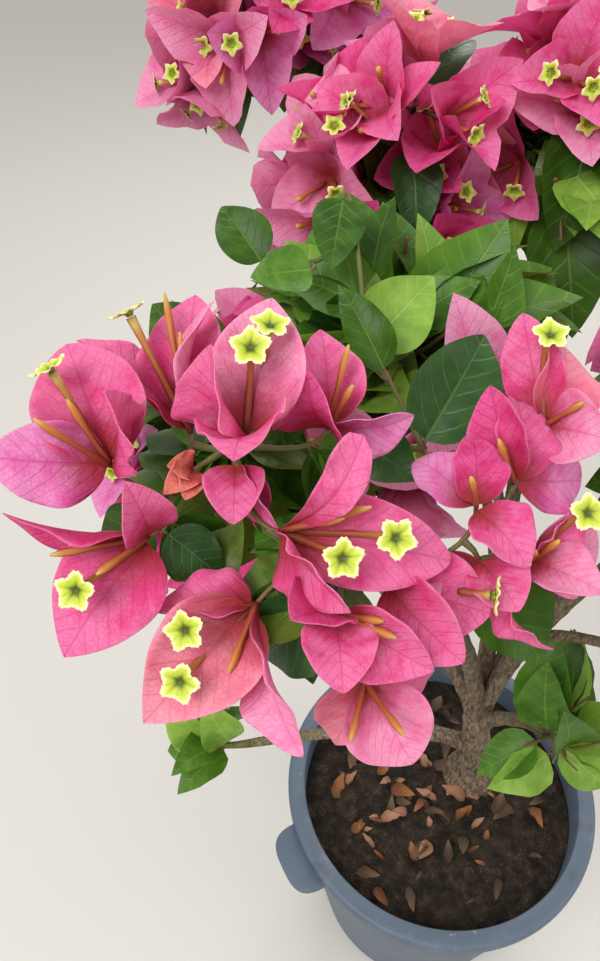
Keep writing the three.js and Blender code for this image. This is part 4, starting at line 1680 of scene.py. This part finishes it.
    def clothe(self, shoot: Shoot, curve: Bend, count: int, green: int, draw: Seeded) -> None:
        """Sets leaves along a twig, turning from each to the next.

        Args:
            shoot: The main shoot, for where its leaves face.
            curve: The twig's course.
            count: How many leaves it bears.
            green: The number of their green.
            draw: Numbers for their angles and sizes.
        """
        rule = self.rule
        for j in range(count):
            share = 0.25 + 0.75 * (j + draw.draw() * 0.6) / count
            tangent = curve.tangent(share)
            away = around(tangent, shoot.roll + j * self.leaf_turn + draw.between(-0.4, 0.4))
            onward = draw.between(0.3, 0.8) if share < 0.9 else 1.6
            along = (away * 0.85 + tangent * onward).normalized()
            root = curve.point(min(share, 1.0))
            length = self.foliage.leaf_length * draw.between(*rule.sizes) * shoot.size
            faces = shoot.out * 0.6 + UP * 0.8 + along * 0.1
            for _ in range(rule.tries):
                if self.space.holds(self.number, (root, root + along * length * 1.04), rule.beyond):
                    tint = green if draw.draw() < 0.75 else draw.pick(ALL_TINTS)
                    self.foliage.plan_leaf(root, along, faces, length * rule.growth, tint, draw)
                    break
                length *= self.leaf_shrink

    def cluster(
        self, root: Vector, axis: Vector, roll: float, openness: float, count: int, tint: int, draw: Seeded
    ) -> None:
        """Sets some blooms close together at a twig's tip.

        Args:
            root: The twig's tip.
            axis: Where the cluster faces.
            roll: Its turn.
            openness: Its bracts' angle to their axes.
            count: How many blooms it has.
            tint: The number of their tint.
            draw: Numbers for their places.
        """
        for at in range(count):
            out = around(axis, roll + at * FULL_TURN / count)
            place = root + out * self.cluster_radius + axis * draw.between(-2, 8)
            facing = (axis + out * draw.between(0.55, 0.95)).normalized()
            spread = openness * draw.between(0.72, 0.95)
            tip = place + facing * (self.foliage.bract_length * math.cos(spread))
            if self.space.holds(self.number, (place, tip), beyond=8.0):
                own = tint if draw.draw() < 0.8 else draw.pick(ALL_TINTS)
                set_twig(self.foliage.twigs, Bend.leaving(root - axis * 6, place, axis, 0.4), CLUSTER_TWIG)
                self.foliage.add_bloom(place, facing, roll + at * 1.3, spread, own, draw)

    def side_twig(self, shoot: Shoot, k: int, green: int, tint: int, draw: Seeded) -> None:
        """Grows a finer twig from a shoot, with its leaves and perhaps a bloom or two.

        Args:
            shoot: The shoot.
            k: The twig's number on it.
            green: The number of its leaves' green.
            tint: The number of its blooms' tint.
            draw: Numbers for its course and load.
        """
        share = 0.3 + 0.6 * (k + draw.draw() * 0.5) / self.rule.side_twigs
        tangent = shoot.curve.tangent(share)
        away = around(tangent, shoot.roll + 1.3 + k * GOLDEN_ANGLE)
        start = shoot.curve.point(share)
        length = self.plan.reach * draw.between(0.36, 0.58)
        aim = (away * 0.9 + tangent * 0.5 + shoot.out * 0.3).normalized()
        for _ in range(4):
            end = start + aim * length + UP * (0.08 * length)
            if self.space.holds(self.number, (start.lerp(end, 0.6), end + aim * 20), beyond=6.0):
                break
            length *= 0.8
        else:
            return
        curve = Bend.leaving(start, end, (tangent + away * 0.4).normalized(), 0.4)
        set_twig(self.foliage.twigs, curve, SIDE_TWIG)
        self.clothe(shoot, curve, self.rule.on_side_twig, green, draw)
        if shoot.flowers and draw.draw() < self.flowering_side_share:
            facing = (curve.tangent(1) * 0.5 + shoot.out * 0.7 + UP * 0.2).normalized()
            roll, count = draw.draw() * 6.28, draw.pick((1, 2))
            self.cluster(curve.end, facing, roll, shoot.openness, count, tint, draw)


# The flowering spray


@dataclass(frozen=True)
class Bract:
    """A bract of the spray: its tip, width, turn in degrees round its length, tint and twist.

    It is fullest at a share of its length, drawn where that is 0, and sweeps sideways by another.
    """

    tip: Place
    width: float
    turn: float
    tint: BractTint = BractTint.HOT
    twist: float = 0.0
    fullest: float = 0.0
    sweep: float = 0.0


@dataclass(frozen=True)
class Star:
    """An open flower of the spray: its star's centre, how far it turns to face out, and its spin.

    Its tube starts where the bloom's bracts meet, unless it has a foot of its own.
    """

    at: Place
    faces_out: float = 0.8
    spin: float = 0.0
    foot: Place | None = None


@dataclass(frozen=True)
class Bloom:
    """A bloom of the spray: where its bracts meet, the bracts, and the flowers on them."""

    at: Place
    bracts: tuple[Bract, Bract, Bract]
    stars: tuple[Star, ...] = ()
    closed: tuple[Place, ...] = ()


HOT, PALE, MAUVE, SALMON, CRIMSON, CORAL = BractTint
DEEP, TEAL, MID, OLIVE, FRESH = LeafTint

SPRAY_BLOOMS = (
    Bloom(
        (-53, 4, -4),
        (Bract((-85, 6, 9), 24, -6, MAUVE), Bract((-66, 39, -4), 31, 10), Bract((-47, 22, 22), 20, 102)),
        (Star((-67, 30, 8), 0.1),),
        ((-69, 16, 15), (-63, 22, 6)),
    ),
    Bloom(
        (-43, -16, -6),
        (Bract((-82, -10, 2), 24, -65, CRIMSON), Bract((-65, -48, 4), 31, 5), Bract((-42, -3, 20), 17, 45)),
        (Star((-59, -29, 12), 0.8, 8),),
        ((-67, -20, 8), (-54, -25, 10)),
    ),
    Bloom(
        (-32, 14, -14),
        (Bract((-62, 42, -6), 20, 60), Bract((-32, 56, -16), 26, -10), Bract((-27, 50, 0), 22, -70, PALE)),
        (Star((-48, 47, -2), 0.0),),
        ((-39, 54, -8), (-34, 42, -4)),
    ),
    Bloom(
        (-15, 12, 0),
        (Bract((-8, 53, -4), 27, 0, PALE), Bract((-25, 33, 18), 24, -65), Bract((-16, 6, 30), 24, 10)),
        (Star((-13, 35, 12)), Star((-8, 42, 6), 0.5)),
        (),
    ),
    Bloom(
        (8, 15, -12),
        (
            Bract((7, 47, -20), 20, 15),
            Bract((1, 26, 12), 20, -50, CRIMSON),
            Bract((32, 16, -4), 18, 50, MAUVE),
        ),
        (),
        ((14, 39, -8), (15, 27, -4)),
    ),
    Bloom(
        (-18, 5, -4),
        (Bract((-18, -12, 6), 17, 0), Bract((-6, -14, 0), 14, 55), Bract((-11, -12, -10), 12, 0, CRIMSON)),
    ),
    Bloom(
        (-6, -14, 0),
        (
            Bract((15, 10, 18), 12, 0, HOT, 0.0, 0.76, 0.13),
            Bract((43, -22, 0), 26, -10),
            Bract((13, -33, 22), 19, 58),
        ),
        (Star((11, -20, 17)), Star((25, -15, 14), 0.8, 36)),
        ((19, -7, 10), (12, -10, 9)),
    ),
    Bloom(
        (24, -30, -8),
        (Bract((55, -38, -7), 26, -15), Bract((43, -49, 7), 22, 10), Bract((41, -21, -10), 22, 0, PALE)),
    ),
    Bloom(
        (10, -36, 4),
        (Bract((11, -54, 20), 20, 0), Bract((36, -51, 8), 20, 15), Bract((-2, -34, 24), 20, 75, CRIMSON)),
        (),
        ((25, -41, 14), (22, -37, 12)),
    ),
    Bloom(
        (19, -59, -14),
        (
            Bract((33, -83, -12), 26, 0, PALE),
            Bract((11, -81, -24), 20, 10, SALMON),
            Bract((40, -67, -34), 22, 0),
        ),
        (),
        ((29, -71, 0), (14, -73, -2)),
    ),
    Bloom(
        (-12, -34, 0),
        (
            Bract((-42, -65, 8), 29, 5, SALMON),
            Bract((-42, -37, -4), 20, 65),
            Bract((0, -73, 12), 17, 60, PALE, 1.5),
        ),
        (Star((-30, -39, 14), 0.8, -14), Star((-31, -52, 16), 0.8, 20)),
        ((-19, -51, 10),),
    ),
    Bloom(
        (51, -8, -10),
        (
            Bract((52, 15, -16), 17, 10, CRIMSON),
            Bract((64, -23, 0), 20, -20),
            Bract((35, 8, -24), 18, 20, MAUVE),
        ),
        (),
        ((47, 1, 2),),
    ),
    Bloom(
        (64, -1, -18),
        (
            Bract((56, 28, -14), 18, -30, CRIMSON),
            Bract((68, 28, -24), 22, 20),
            Bract((91, 0, -38), 20, 0, MAUVE),
        ),
        (),
        ((57, 12, -8),),
    ),
    Bloom(
        (75, 17, -24),
        (
            Bract((69, 52, -26), 19, -20),
            Bract((86, 43, -32), 25, 15, SALMON),
            Bract((91, 12, -12), 22, 0, PALE),
        ),
        (Star((74, 43, -14), 0.6),),
        ((83, 23, -12),),
    ),
    Bloom(
        (69, -24, -18),
        (
            Bract((83, -8, -12), 17, 50),
            Bract((87, -32, -6), 21, -30, PALE),
            Bract((95, -21, -32), 27, 0, PALE),
        ),
        (Star((80, -9, 0)),),
        ((67, -20, -6), (74, -17, -6)),
    ),
    Bloom(
        (52, -23, -10),
        (Bract((61, -36, 0), 19, -20), Bract((73, -52, -14), 12, 75), Bract((46, -27, -26), 17, 0, CRIMSON)),
        (Star((54, -32, 0), 0.0, 0, (44, -31, -2)),),
    ),
    Bloom(
        (-30, 3, -4),
        (
            Bract((-36, -3, 7), 9, 0, CORAL),
            Bract((-36, 4, 5), 9, 20, CORAL),
            Bract((-31, -5, 5), 8, -20, CORAL),
        ),
    ),
)
SPRAY_LEAVES = (
    ((41, 13, -40), (63, 50, -46), 28, TEAL),
    ((28, 37, -44), (13, 66, -44), 16, DEEP),
    ((25, 48, -60), (48, 73, -62), 26, FRESH),
    ((16, 104, -74), (11, 76, -66), 20, DEEP),
    ((-29, -9, -24), (-20, -32, -14), 20, OLIVE),
    ((8, -8, -29), (-5, 12, -25), 21, DEEP),
    ((-4, -26, -20), (-14, -52, -22), 17, DEEP),
    ((-2, -34, -22), (4, -62, -20), 17, TEAL),
    ((-2, 14, -36), (-14, 34, -30), 16, DEEP),
    ((-5, 6, -36), (-12, 25, -30), 18, DEEP),
    ((24, 10, -38), (37, 0, -30), 18, TEAL),
    ((-14, 80, -70), (-29, 101, -72), 20, DEEP),
    ((4, 75, -62), (-17, 71, -56), 18, MID),
    ((-24, 30, -44), (-52, 62, -52), 26, DEEP),
    ((60, -30, -44), (82, -62, -44), 28, DEEP),
)


SPRAY_BRACT = dict(
    base=(0.5, 0.62), point=(0.72, 0.95), cup_left=(0.08, 0.42), cup_right=(0.08, 0.42),
    arch=(0.08, 0.26), curl=(-0.1, 0.6), twist=(-0.3, 0.3), wave=(0.02, 0.06), waves=(1.8, 3.2),
    phase=(0, 6),
)
SPRAY_LEAF = dict(
    point=(0.85, 1.05), cup_left=(0.05, 0.4), cup_right=(0.05, 0.4), arch=(0.0, 0.25), curl=(0.0, 0.5),
    twist=(-0.3, 0.3), wave=(0.01, 0.04), phase=(0, 6),
)
SPRAY_TWIG = Gauge(1.0, 0.65, 7, 4.0)
SPRAY_STALK = Gauge(0.6, 0.5, 5, 3.0)


@dataclass
class FloweringSpray:
    """The large flowering spray: each bract, flower and front leaf in its own place."""

    limb: Limb
    space: CrownSpace
    centre: Place = (-131, -174, 822)
    lean: float = 45
    stem_end: Place = (2, 6, -34)
    gap: float = 0.3
    seat: float = 0.04
    branch_shares: tuple[float, ...] = (0.35, 0.5, 0.65, 0.8)
    grid: tuple[int, int] = (24, 16)
    tiles: int = 7
    leaf_tiles: int = 12
    paper: float = 0.28
    head: float = 18.0
    head_steps: int = 60
    throat_depth: float = 1.3
    flower_lift: float = 0.8
    flower_sides: int = 10
    flower_ribs: float = 0.16
    tube_radii: tuple[float, ...] = (0.7, 1.1, 1.15, 1.0, 0.9, 0.85, 0.95, 1.15, 1.35)
    closed_radii: tuple[float, ...] = (0.6, 0.9, 0.95, 0.85, 0.75, 0.72, 0.8, 1.0, 1.15, 0.9, 0.3)
    most_ratio: float = 0.9
    back_leaf: tuple[float, float] = (24, 40)
    back_ratio: float = 0.66
    clear_of_bracts: float = 5.0
    back_shares: tuple[float, ...] = (0.1, 0.22, 0.34, 0.46, 0.58, 0.7, 0.82)
    seed: int = 17

    def __post_init__(self) -> None:
        """Makes the empty gatherings and the numbers for the forms."""
        self.bracts = Gathering("spray_bracts", Slot.BLOOMS, BRACT_FINISHES, self.tiles)
        self.leaves = Gathering("spray_leaves", Slot.LEAVES, LEAF_FINISHES, self.leaf_tiles)
        self.stars = Gathering("spray_stars", Slot.BLOOMS, [STAR])
        self.tubes = Gathering("spray_flower_tubes", Slot.BLOOMS, [TUBE])
        self.closed = Gathering("spray_closed_flowers", Slot.BLOOMS, [BUD])
        self.twigs = Gathering("spray_twigs", Slot.BARK, [GREEN_TWIG])
        self.draw = Seeded(self.seed)
        self.out = self.direction((0, 0, 1))

    def direction(self, values: Sequence[float]) -> Vector:
        """Turns a direction from the spray's own axes.

        Args:
            values: Its shares to the right, up the spray's face and out of it.

        Returns:
            The direction.
        """
        lean = math.radians(self.lean)
        sine, cosine = math.sin(lean), math.cos(lean)
        right, up, out = values
        return Vector((right, up * sine - out * cosine, up * cosine + out * sine))

    def place(self, values: Sequence[float]) -> Vector:
        """Turns a place from the spray's own axes."""
        return Vector(self.centre) + self.direction(values)

    def face_of(self, along: Vector, degrees: float) -> Vector:
        """Returns which way a bract faces that is turned round its length from facing out."""
        square = (self.out - along * self.out.dot(along)).normalized()
        return Matrix.Rotation(math.radians(degrees), 3, along) @ square

    def bract_form(self, bract: Bract, length: float) -> Form:
        """Makes one bract's own form, wavy and cupped by its own numbers.

        Args:
            bract: The bract.
            length: Its length.

        Returns:
            The form.
        """
        ratio = min(self.most_ratio, bract.width / length)
        shape = BladeShape.drawn(self.draw, SPRAY_BRACT, groove=0.012, ratio=ratio, sweep=bract.sweep)
        shape = replace(shape, twist=bract.twist + shape.twist)
        if bract.fullest:
            shape = replace(shape, base=1.0, point=1 / bract.fullest - 1)
        return shape.form(*self.grid)

    def leaf_form(self, width: float, length: float) -> Form:
        """Makes one leaf's own form."""
        ratio = min(self.most_ratio, width / length)
        return BladeShape.drawn(self.draw, SPRAY_LEAF, base=0.5, groove=0.014, ratio=ratio).form(*self.grid)

    def add_flower(self, foot: Vector, star: Star, head: Form) -> None:
        """Adds an open flower: a bent tube and the star at its end.

        Args:
            foot: Where the tube leaves its bract.
            star: The star's place and facing.
            head: The star's form.
        """
        centre = self.place(star.at)
        reach = (centre - foot).normalized()
        facing = (reach * (1 - star.faces_out) + self.out * star.faces_out).normalized()
        end = centre - facing * self.throat_depth
        curve = Bend(foot, end - facing * ((end - foot).length * 0.45), end)
        self.tubes.add_placed(swept(curve, self.tube_radii, self.flower_sides, self.flower_ribs))
        spin = math.radians(star.spin)
        upward = self.direction((math.sin(spin), math.cos(spin), 0))
        point = (upward - facing * upward.dot(facing)).normalized()
        across = facing.cross(point)
        self.stars.add(head, (point * self.head, across * self.head, facing * self.head), centre, 0)

    def add_closed(self, foot: Vector, tip: Vector) -> None:
        """Adds a closed flower, bent out of the spray a little."""
        curve = Bend.leaving(foot, tip, ((tip - foot).normalized() + self.out * 0.25).normalized(), 0.5)
        self.closed.add_placed(swept(curve, self.closed_radii, self.flower_sides, self.flower_ribs))

    def note_bracts(self) -> None:
        """Keeps points along every bract, and how far the bract spreads round them."""
        spots, halves = [], []
        for bloom in SPRAY_BLOOMS:
            root = self.place(bloom.at)
            for bract in bloom.bracts:
                tip = self.place(bract.tip)
                spots += [root.lerp(tip, share)[:] for share in (0.15, 0.4, 0.65, 0.9)]
                halves += [bract.width / 2] * 4
        self.spots, self.halves = np.array(spots), np.array(halves)

    def behind(self, spots: Sequence[Vector], half: float) -> bool:
        """Tells whether a leaf stays behind every bract that it passes under.

        Args:
            spots: Points along the leaf.
            half: Half its width.

        Returns:
            True if it does.
        """
        out = np.array(self.out[:])
        away = np.array([spot[:] for spot in spots])[:, None, :] - self.spots
        depth = away @ out
        beside = np.linalg.norm(away - depth[..., None] * out, axis=2)
        under = beside < self.halves + half
        return bool((depth[under] < -self.clear_of_bracts).all())

    def back_leaves(self, twig: Bend) -> None:
        """Adds the leaves that stand behind the blooms along a twig.

        Args:
            twig: The twig.
        """
        draw = self.draw
        for share in self.back_shares:
            root, tangent = twig.point(share), twig.tangent(share)
            away = around(tangent, draw.between(0, FULL_TURN))
            along = (away + tangent * 0.3 - self.out * draw.between(0.2, 0.9)).normalized()
            length = draw.between(*self.back_leaf)
            tip = root + along * length
            spots = [root.lerp(tip, share) for share in (0.35, 0.65, 1.0)]
            if self.behind(spots, length * 0.3) and self.space.holds(0, (root, tip)):
                width = length * self.back_ratio
                form = self.leaf_form(width, length)
                stalk = root + along * 3
                green = draw.pick((0, 0, 1, 2, 3))
                set_blade(self.leaves, form, stalk, tip, self.out + UP * 0.4, width, green)
                set_twig(self.twigs, Bend.leaving(root, stalk, along, 0.5), SPRAY_STALK)

    def build(self) -> None:
        """Places the blooms, flowers, leaves and twigs, and joins each kind."""
        curve = self.limb.curve
        inward = curve.tangent(1)
        stem = Bend.leaving(curve.point(1) + inward * self.gap, self.place(self.stem_end), inward, 0.4)
        set_twig(self.twigs, stem, Gauge(self.limb.radius_at(1), 1.2, 9, 5.0, swell=0.0))
        places = [stem.point(share) for share in self.branch_shares]

        def add_twig(to: Vector, direction: Vector, arriving: float) -> Bend:
            """Adds a twig from the nearest place on the twigs so far.

            Args:
                to: Its end.
                direction: Its unit direction there.
                arriving: How far that direction carries, as a share of the whole distance.

            Returns:
                Its course.
            """
            start = min(places, key=lambda spot: (spot - to).length)
            control = to - direction * (arriving * (to - start).length)
            twig = Bend(start, control, to)
            places.extend(twig.point(share) for share in self.branch_shares)
            set_twig(self.twigs, twig, SPRAY_TWIG)
            return twig

        self.note_bracts()
        head = FlowerShape().head_form(self.head_steps)
        for bloom in SPRAY_BLOOMS:
            root = self.place(bloom.at)
            foot = root + self.out * self.flower_lift
            tips = [self.place(bract.tip) for bract in bloom.bracts]
            axis = sum(((tip - root).normalized() for tip in tips), Vector()).normalized()
            self.back_leaves(add_twig(root, axis, 0.4))
            for bract, tip in zip(bloom.bracts, tips):
                length = (tip - root).length
                along = (tip - root).normalized()
                form = self.bract_form(bract, length)
                tint = list(BractTint).index(bract.tint)
                base = root + along * self.seat * length
                set_blade(self.bracts, form, base, tip, self.face_of(along, bract.turn), bract.width, tint)
            for star in bloom.stars:
                self.add_flower(self.place(star.foot) if star.foot else foot, star, head)
            for tip in bloom.closed:
                self.add_closed(foot, self.place(tip))
        for base, end, width, green in SPRAY_LEAVES:
            root, tip = self.place(base), self.place(end)
            add_twig(root, (tip - root).normalized(), 0.3)
            form = self.leaf_form(width, (tip - root).length)
            set_blade(self.leaves, form, root, tip, self.out, width, list(LeafTint).index(green))
        pieces = self.bracts.build()
        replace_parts(pieces[0], "flowering_spray")
        for piece in pieces:
            sheet = piece.modifiers.new("paper", "SOLIDIFY")
            sheet.thickness = self.paper * MM
            sheet.offset = 0
        for gathering in (self.leaves, self.stars, self.tubes, self.closed, self.twigs):
            gathering.build()


# The pot and its soil


@dataclass
class Pot:
    """The round pot: a tapered wall, a banded rim with a rolled lip, a floor and two grip lugs."""

    height: float = 250
    rim_radius: float = 142
    band_radius: float = 137
    band_height: float = 30
    top_radius: float = 131
    foot_radius: float = 101
    wall: float = 3.5
    floor: float = 5
    lip: float = 4
    inner_rim_radius: float = 126
    lug_reach: float = 22
    lug_width: float = 60
    lug_height: float = 5
    lug_drop: float = 8
    lug_angle: float = 207
    lug_squareness: float = 0.62
    steps: int = 128

    def profile(self) -> list[tuple[float, float]]:
        """Draws the section.

        Returns:
            Its radii and heights, from the axis below to the axis inside.
        """
        shoulder = self.height - self.band_height
        lip = [
            (self.rim_radius - self.lip * (1 - math.sin(turn)), self.height - self.lip * (1 - math.cos(turn)))
            for turn in (math.pi / 2, math.pi / 3, math.pi / 6, 0)
        ]
        return [
            (0, 2),
            (self.foot_radius * 0.86, 2),
            (self.foot_radius * 0.88, 0),
            (self.foot_radius - 3, 0),
            (self.foot_radius, 2.5),
            (self.foot_radius + 1.2, 8),
            (self.top_radius, shoulder - 6),
            (self.top_radius + 0.5, shoulder),
            (self.band_radius - 1, shoulder),
            (self.band_radius, shoulder + 1.5),
            (self.band_radius + 1.2, self.height - 14),
            (self.rim_radius, self.height - 9),
            *lip,
            (self.inner_rim_radius + self.lip, self.height),
            (self.inner_rim_radius + 1, self.height - 1.2),
            (self.inner_rim_radius, self.height - 3.2),
            (self.inner_rim_radius - 0.5, shoulder),
            (self.foot_radius - self.wall, self.floor),
            (0, self.floor),
        ]

    def lug(self, made: bmesh.types.BMesh, degrees: float) -> None:
        """Adds a grip lug: a rounded tab under the rim.

        Args:
            made: The pot's mesh.
            degrees: Where it stands round the pot.
        """
        inner = self.band_radius - 2
        reach = self.rim_radius + self.lug_reach - inner
        disc = bmesh.ops.create_circle(made, cap_ends=True, segments=40, radius=1.0)
        for vert in disc["verts"]:
            vert.co.x = math.copysign(abs(vert.co.x) ** self.lug_squareness, vert.co.x)
            vert.co.y = math.copysign(abs(vert.co.y) ** self.lug_squareness, vert.co.y)
        edges = list({edge for vert in disc["verts"] for edge in vert.link_edges})
        parts = [*disc["verts"], *edges, *disc["verts"][0].link_faces]
        half = bmesh.ops.bisect_plane(
            made, geom=parts, plane_co=(0, 0, 0), plane_no=(1, 0, 0), clear_inner=True, dist=1e-6
        )
        verts = of_kind(half["geom"], bmesh.types.BMVert)
        spread = Matrix.Diagonal((reach, self.lug_width / 2, 1, 1))
        lift = Matrix.Translation((inner, 0, self.height - self.lug_drop - self.lug_height))
        turn = Matrix.Rotation(math.radians(degrees), 4, "Z")
        bmesh.ops.transform(made, matrix=turn @ lift @ spread, verts=verts)
        face = verts[0].link_faces[0]
        drawn = bmesh.ops.extrude_face_region(made, geom=[face], use_keep_orig=True)["geom"]
        top = of_kind(drawn, bmesh.types.BMVert)
        bmesh.ops.translate(made, vec=(0, 0, self.lug_height), verts=top)
        tab = {*verts, *top}
        edges = {edge for vert in top for edge in vert.link_edges if tab.issuperset(edge.verts)}
        rim = [edge for edge in edges if edge.calc_face_angle(0) > 1]
        bmesh.ops.bevel(made, geom=rim, offset=1.1, segments=3, profile=0.5, affect="EDGES", material=-1)

    def build(self) -> None:
        """Makes the pot."""
        made = lathe(self.profile(), self.steps)
        for turn in (0, 180):
            self.lug(made, self.lug_angle + turn)
        bmesh.ops.recalc_face_normals(made, faces=made.faces[:])
        piece = piece_from(made, "pot_shell", PotFinish().material())
        piece.data.set_sharp_from_angle(angle=math.radians(40))
        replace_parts(piece, "pot")


FALLEN_LEAF = dict(
    cup_left=(0.2, 0.7), cup_right=(-0.1, 0.7), arch=(0.0, 0.3), curl=(-0.7, 0.5), twist=(-0.7, 0.7),
)


@dataclass
class Soil:
    """The soil: crumbly, level round the trunk and lower at the wall, with fallen leaves on it."""

    pot: Pot
    top: float = 226
    edge: float = 219
    flat_radius: float = 76
    gap: float = 0.6
    rings: int = 90
    steps: int = 200
    lump: float = 1.6
    crumb: float = 1.1
    crumb_sink: float = 0.8
    dead_leaves: int = 110
    litter_length: tuple[float, float] = (8, 26)
    litter_lift: float = 1.4
    litter_room: float = 16
    tip_room: float = 3
    seed: int = 29

    def wall_at(self, height: float) -> float:
        """Finds the soil's radius against the pot's wall.

        Args:
            height: The height.

        Returns:
            The radius there.
        """
        low = self.pot.foot_radius - self.pot.wall
        rise = self.pot.height - self.pot.band_height - self.pot.floor
        wide = self.pot.inner_rim_radius - 0.5 - low
        return low + wide * (height - self.pot.floor) / rise - self.gap

    def level(self, radius: float) -> float:
        """Returns the soil's height at a distance from the middle."""
        share = min(1.0, max(0.0, (radius - self.flat_radius) / (self.wall_at(self.edge) - self.flat_radius)))
        return self.top + (self.edge - self.top) * share**0.6

    def build(self) -> None:
        """Makes the soil and what lies on it."""
        wide = self.wall_at(self.edge)
        radii = [wide * ring / self.rings for ring in range(self.rings + 1)]
        surface = [(radius, self.level(radius)) for radius in radii]
        below = [(self.wall_at(self.pot.floor), self.pot.floor + 0.3), (0, self.pot.floor + 0.3)]
        made = lathe([*surface, *below], self.steps)
        for vert in made.verts:
            if vert.co.z > self.edge - 1:
                lumps = noise.noise(vert.co * 0.05) * self.lump + noise.noise(vert.co * 0.16) * self.crumb
                crumbs = abs(noise.noise(vert.co * 0.42)) * self.crumb
                vert.co.z += lumps + crumbs - self.crumb_sink
        piece = piece_from(made, "soil_fill", SoilFinish().material())
        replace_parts(piece, "soil")
        self.litter()

    def litter(self) -> None:
        """Scatters dead leaves and faded bracts over the soil."""
        draw = Seeded(self.seed)
        fallen = Gathering("fallen_leaves", Slot.LEAVES, [DRY_LEAF, BROWN_LEAF, BROWN_LEAF, DRY_BRACT])
        leaf = {"base": 0.5, "point": 0.95, "wave": 0.07, "ratio": 0.6}
        forms = [BladeShape.drawn(draw, FALLEN_LEAF, **leaf).form(12, 8) for _ in range(8)]
        wall = self.wall_at(self.edge)
        for number in range(self.dead_leaves):
            radius = (wall - self.litter_room) * math.sqrt(draw.draw())
            angle = draw.draw() * FULL_TURN
            lift = self.level(radius) + self.litter_lift
            spot = Vector((radius * math.cos(angle), radius * math.sin(angle), lift))
            heading = draw.draw() * FULL_TURN
            length = draw.between(*self.litter_length)
            along = Vector((math.cos(heading), math.sin(heading), draw.between(0.0, 0.16)))
            faces = Vector((draw.between(-0.3, 0.3), draw.between(-0.3, 0.3), 1)).normalized()
            tip = spot + along * length
            if math.hypot(tip.x, tip.y) < wall - self.tip_room:
                width = length * draw.between(0.3, 0.6)
                set_blade(fallen, draw.pick(forms), spot, tip, faces, width, number % 4)
        fallen.build()


# The studio


@dataclass
class Studio:
    """A plain pale floor, soft lights and the camera that looks down on the spray."""

    eye: Place = (-0.131, -0.331, 0.979)
    pitch: float = 45
    focal_length: float = 29.97
    floor_size: float = 24.0
    floor_colour: str = "cfccc6"
    sky_colour: str = "f4f2ed"
    sky_strength: float = 0.78

    def camera(self) -> None:
        """Makes the camera at the photograph's angle."""
        lens = bpy.data.cameras.new("camera")
        lens.lens = self.focal_length
        lens.sensor_width = 36.0
        lens.clip_start = 0.01
        lens.dof.use_dof = False
        eye = bpy.data.objects.new("camera", lens)
        eye.location = self.eye
        eye.rotation_euler = (math.radians(90 - self.pitch), 0, 0)
        bpy.context.scene.collection.objects.link(eye)
        bpy.context.scene.camera = eye

    def lamp(self, name: str, place: Place, aim: Place, size: float, power: float) -> None:
        """Adds one soft area lamp.

        Args:
            name: Its name.
            place: Where it hangs, in metres.
            aim: What it points at.
            size: The side of its square.
            power: Its power in watts.
        """
        light = bpy.data.lights.new(name, "AREA")
        light.shape = "SQUARE"
        light.size = size
        light.energy = power
        holder = bpy.data.objects.new(name, light)
        holder.location = place
        holder.rotation_euler = (Vector(aim) - Vector(place)).to_track_quat("-Z", "Y").to_euler()
        bpy.context.scene.collection.objects.link(holder)

    def build(self) -> None:
        """Makes the floor, the sky, the lamps and the camera."""
        made = bmesh.new()
        bmesh.ops.create_grid(made, x_segments=1, y_segments=1, size=self.floor_size / 2)
        mesh = bpy.data.meshes.new("floor")
        made.to_mesh(mesh)
        made.free()
        recipe = Recipe("pale_floor")
        mesh.materials.append(recipe.closed(paint(self.floor_colour), 0.9))
        floor = bpy.data.objects.new("floor", mesh)
        bpy.context.scene.collection.objects.link(floor)
        world = bpy.data.worlds.new("soft_sky")
        world.use_nodes = True
        sky = world.node_tree.nodes["Background"]
        sky.inputs["Color"].default_value = paint(self.sky_colour)
        sky.inputs["Strength"].default_value = self.sky_strength
        bpy.context.scene.world = world
        self.lamp("key", (-0.9, -1.1, 2.2), (-0.05, -0.05, 0.65), 1.1, 33)
        self.lamp("fill", (1.5, -0.7, 1.5), (0, 0, 0.6), 1.4, 10)
        self.lamp("back", (0.3, 1.6, 1.9), (0, 0, 0.6), 1.2, 18)
        bpy.context.scene.view_settings.view_transform = "Standard"
        self.camera()


def save_sizes() -> None:
    """Updates the view layer."""
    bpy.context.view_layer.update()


def main() -> None:
    """Builds the plant from the pot up, and the studio round it."""
    logging.basicConfig(level=logging.INFO, format="%(message)s")
    Studio().build()
    pot = Pot()
    pot.build()
    Soil(pot).build()
    skeleton = Skeleton()
    skeleton.grow()
    skeleton.build()
    space = CrownSpace()
    foliage = Foliage()
    for number, plan in enumerate(MASSES, start=1):
        CrownMass(plan, number, skeleton.limbs[plan.name], space, foliage).dress()
    foliage.build()
    FloweringSpray(skeleton.limbs[SPRAY_BOUGH.name], space).build()
    save_sizes()


if __name__ == "__main__":
    main()
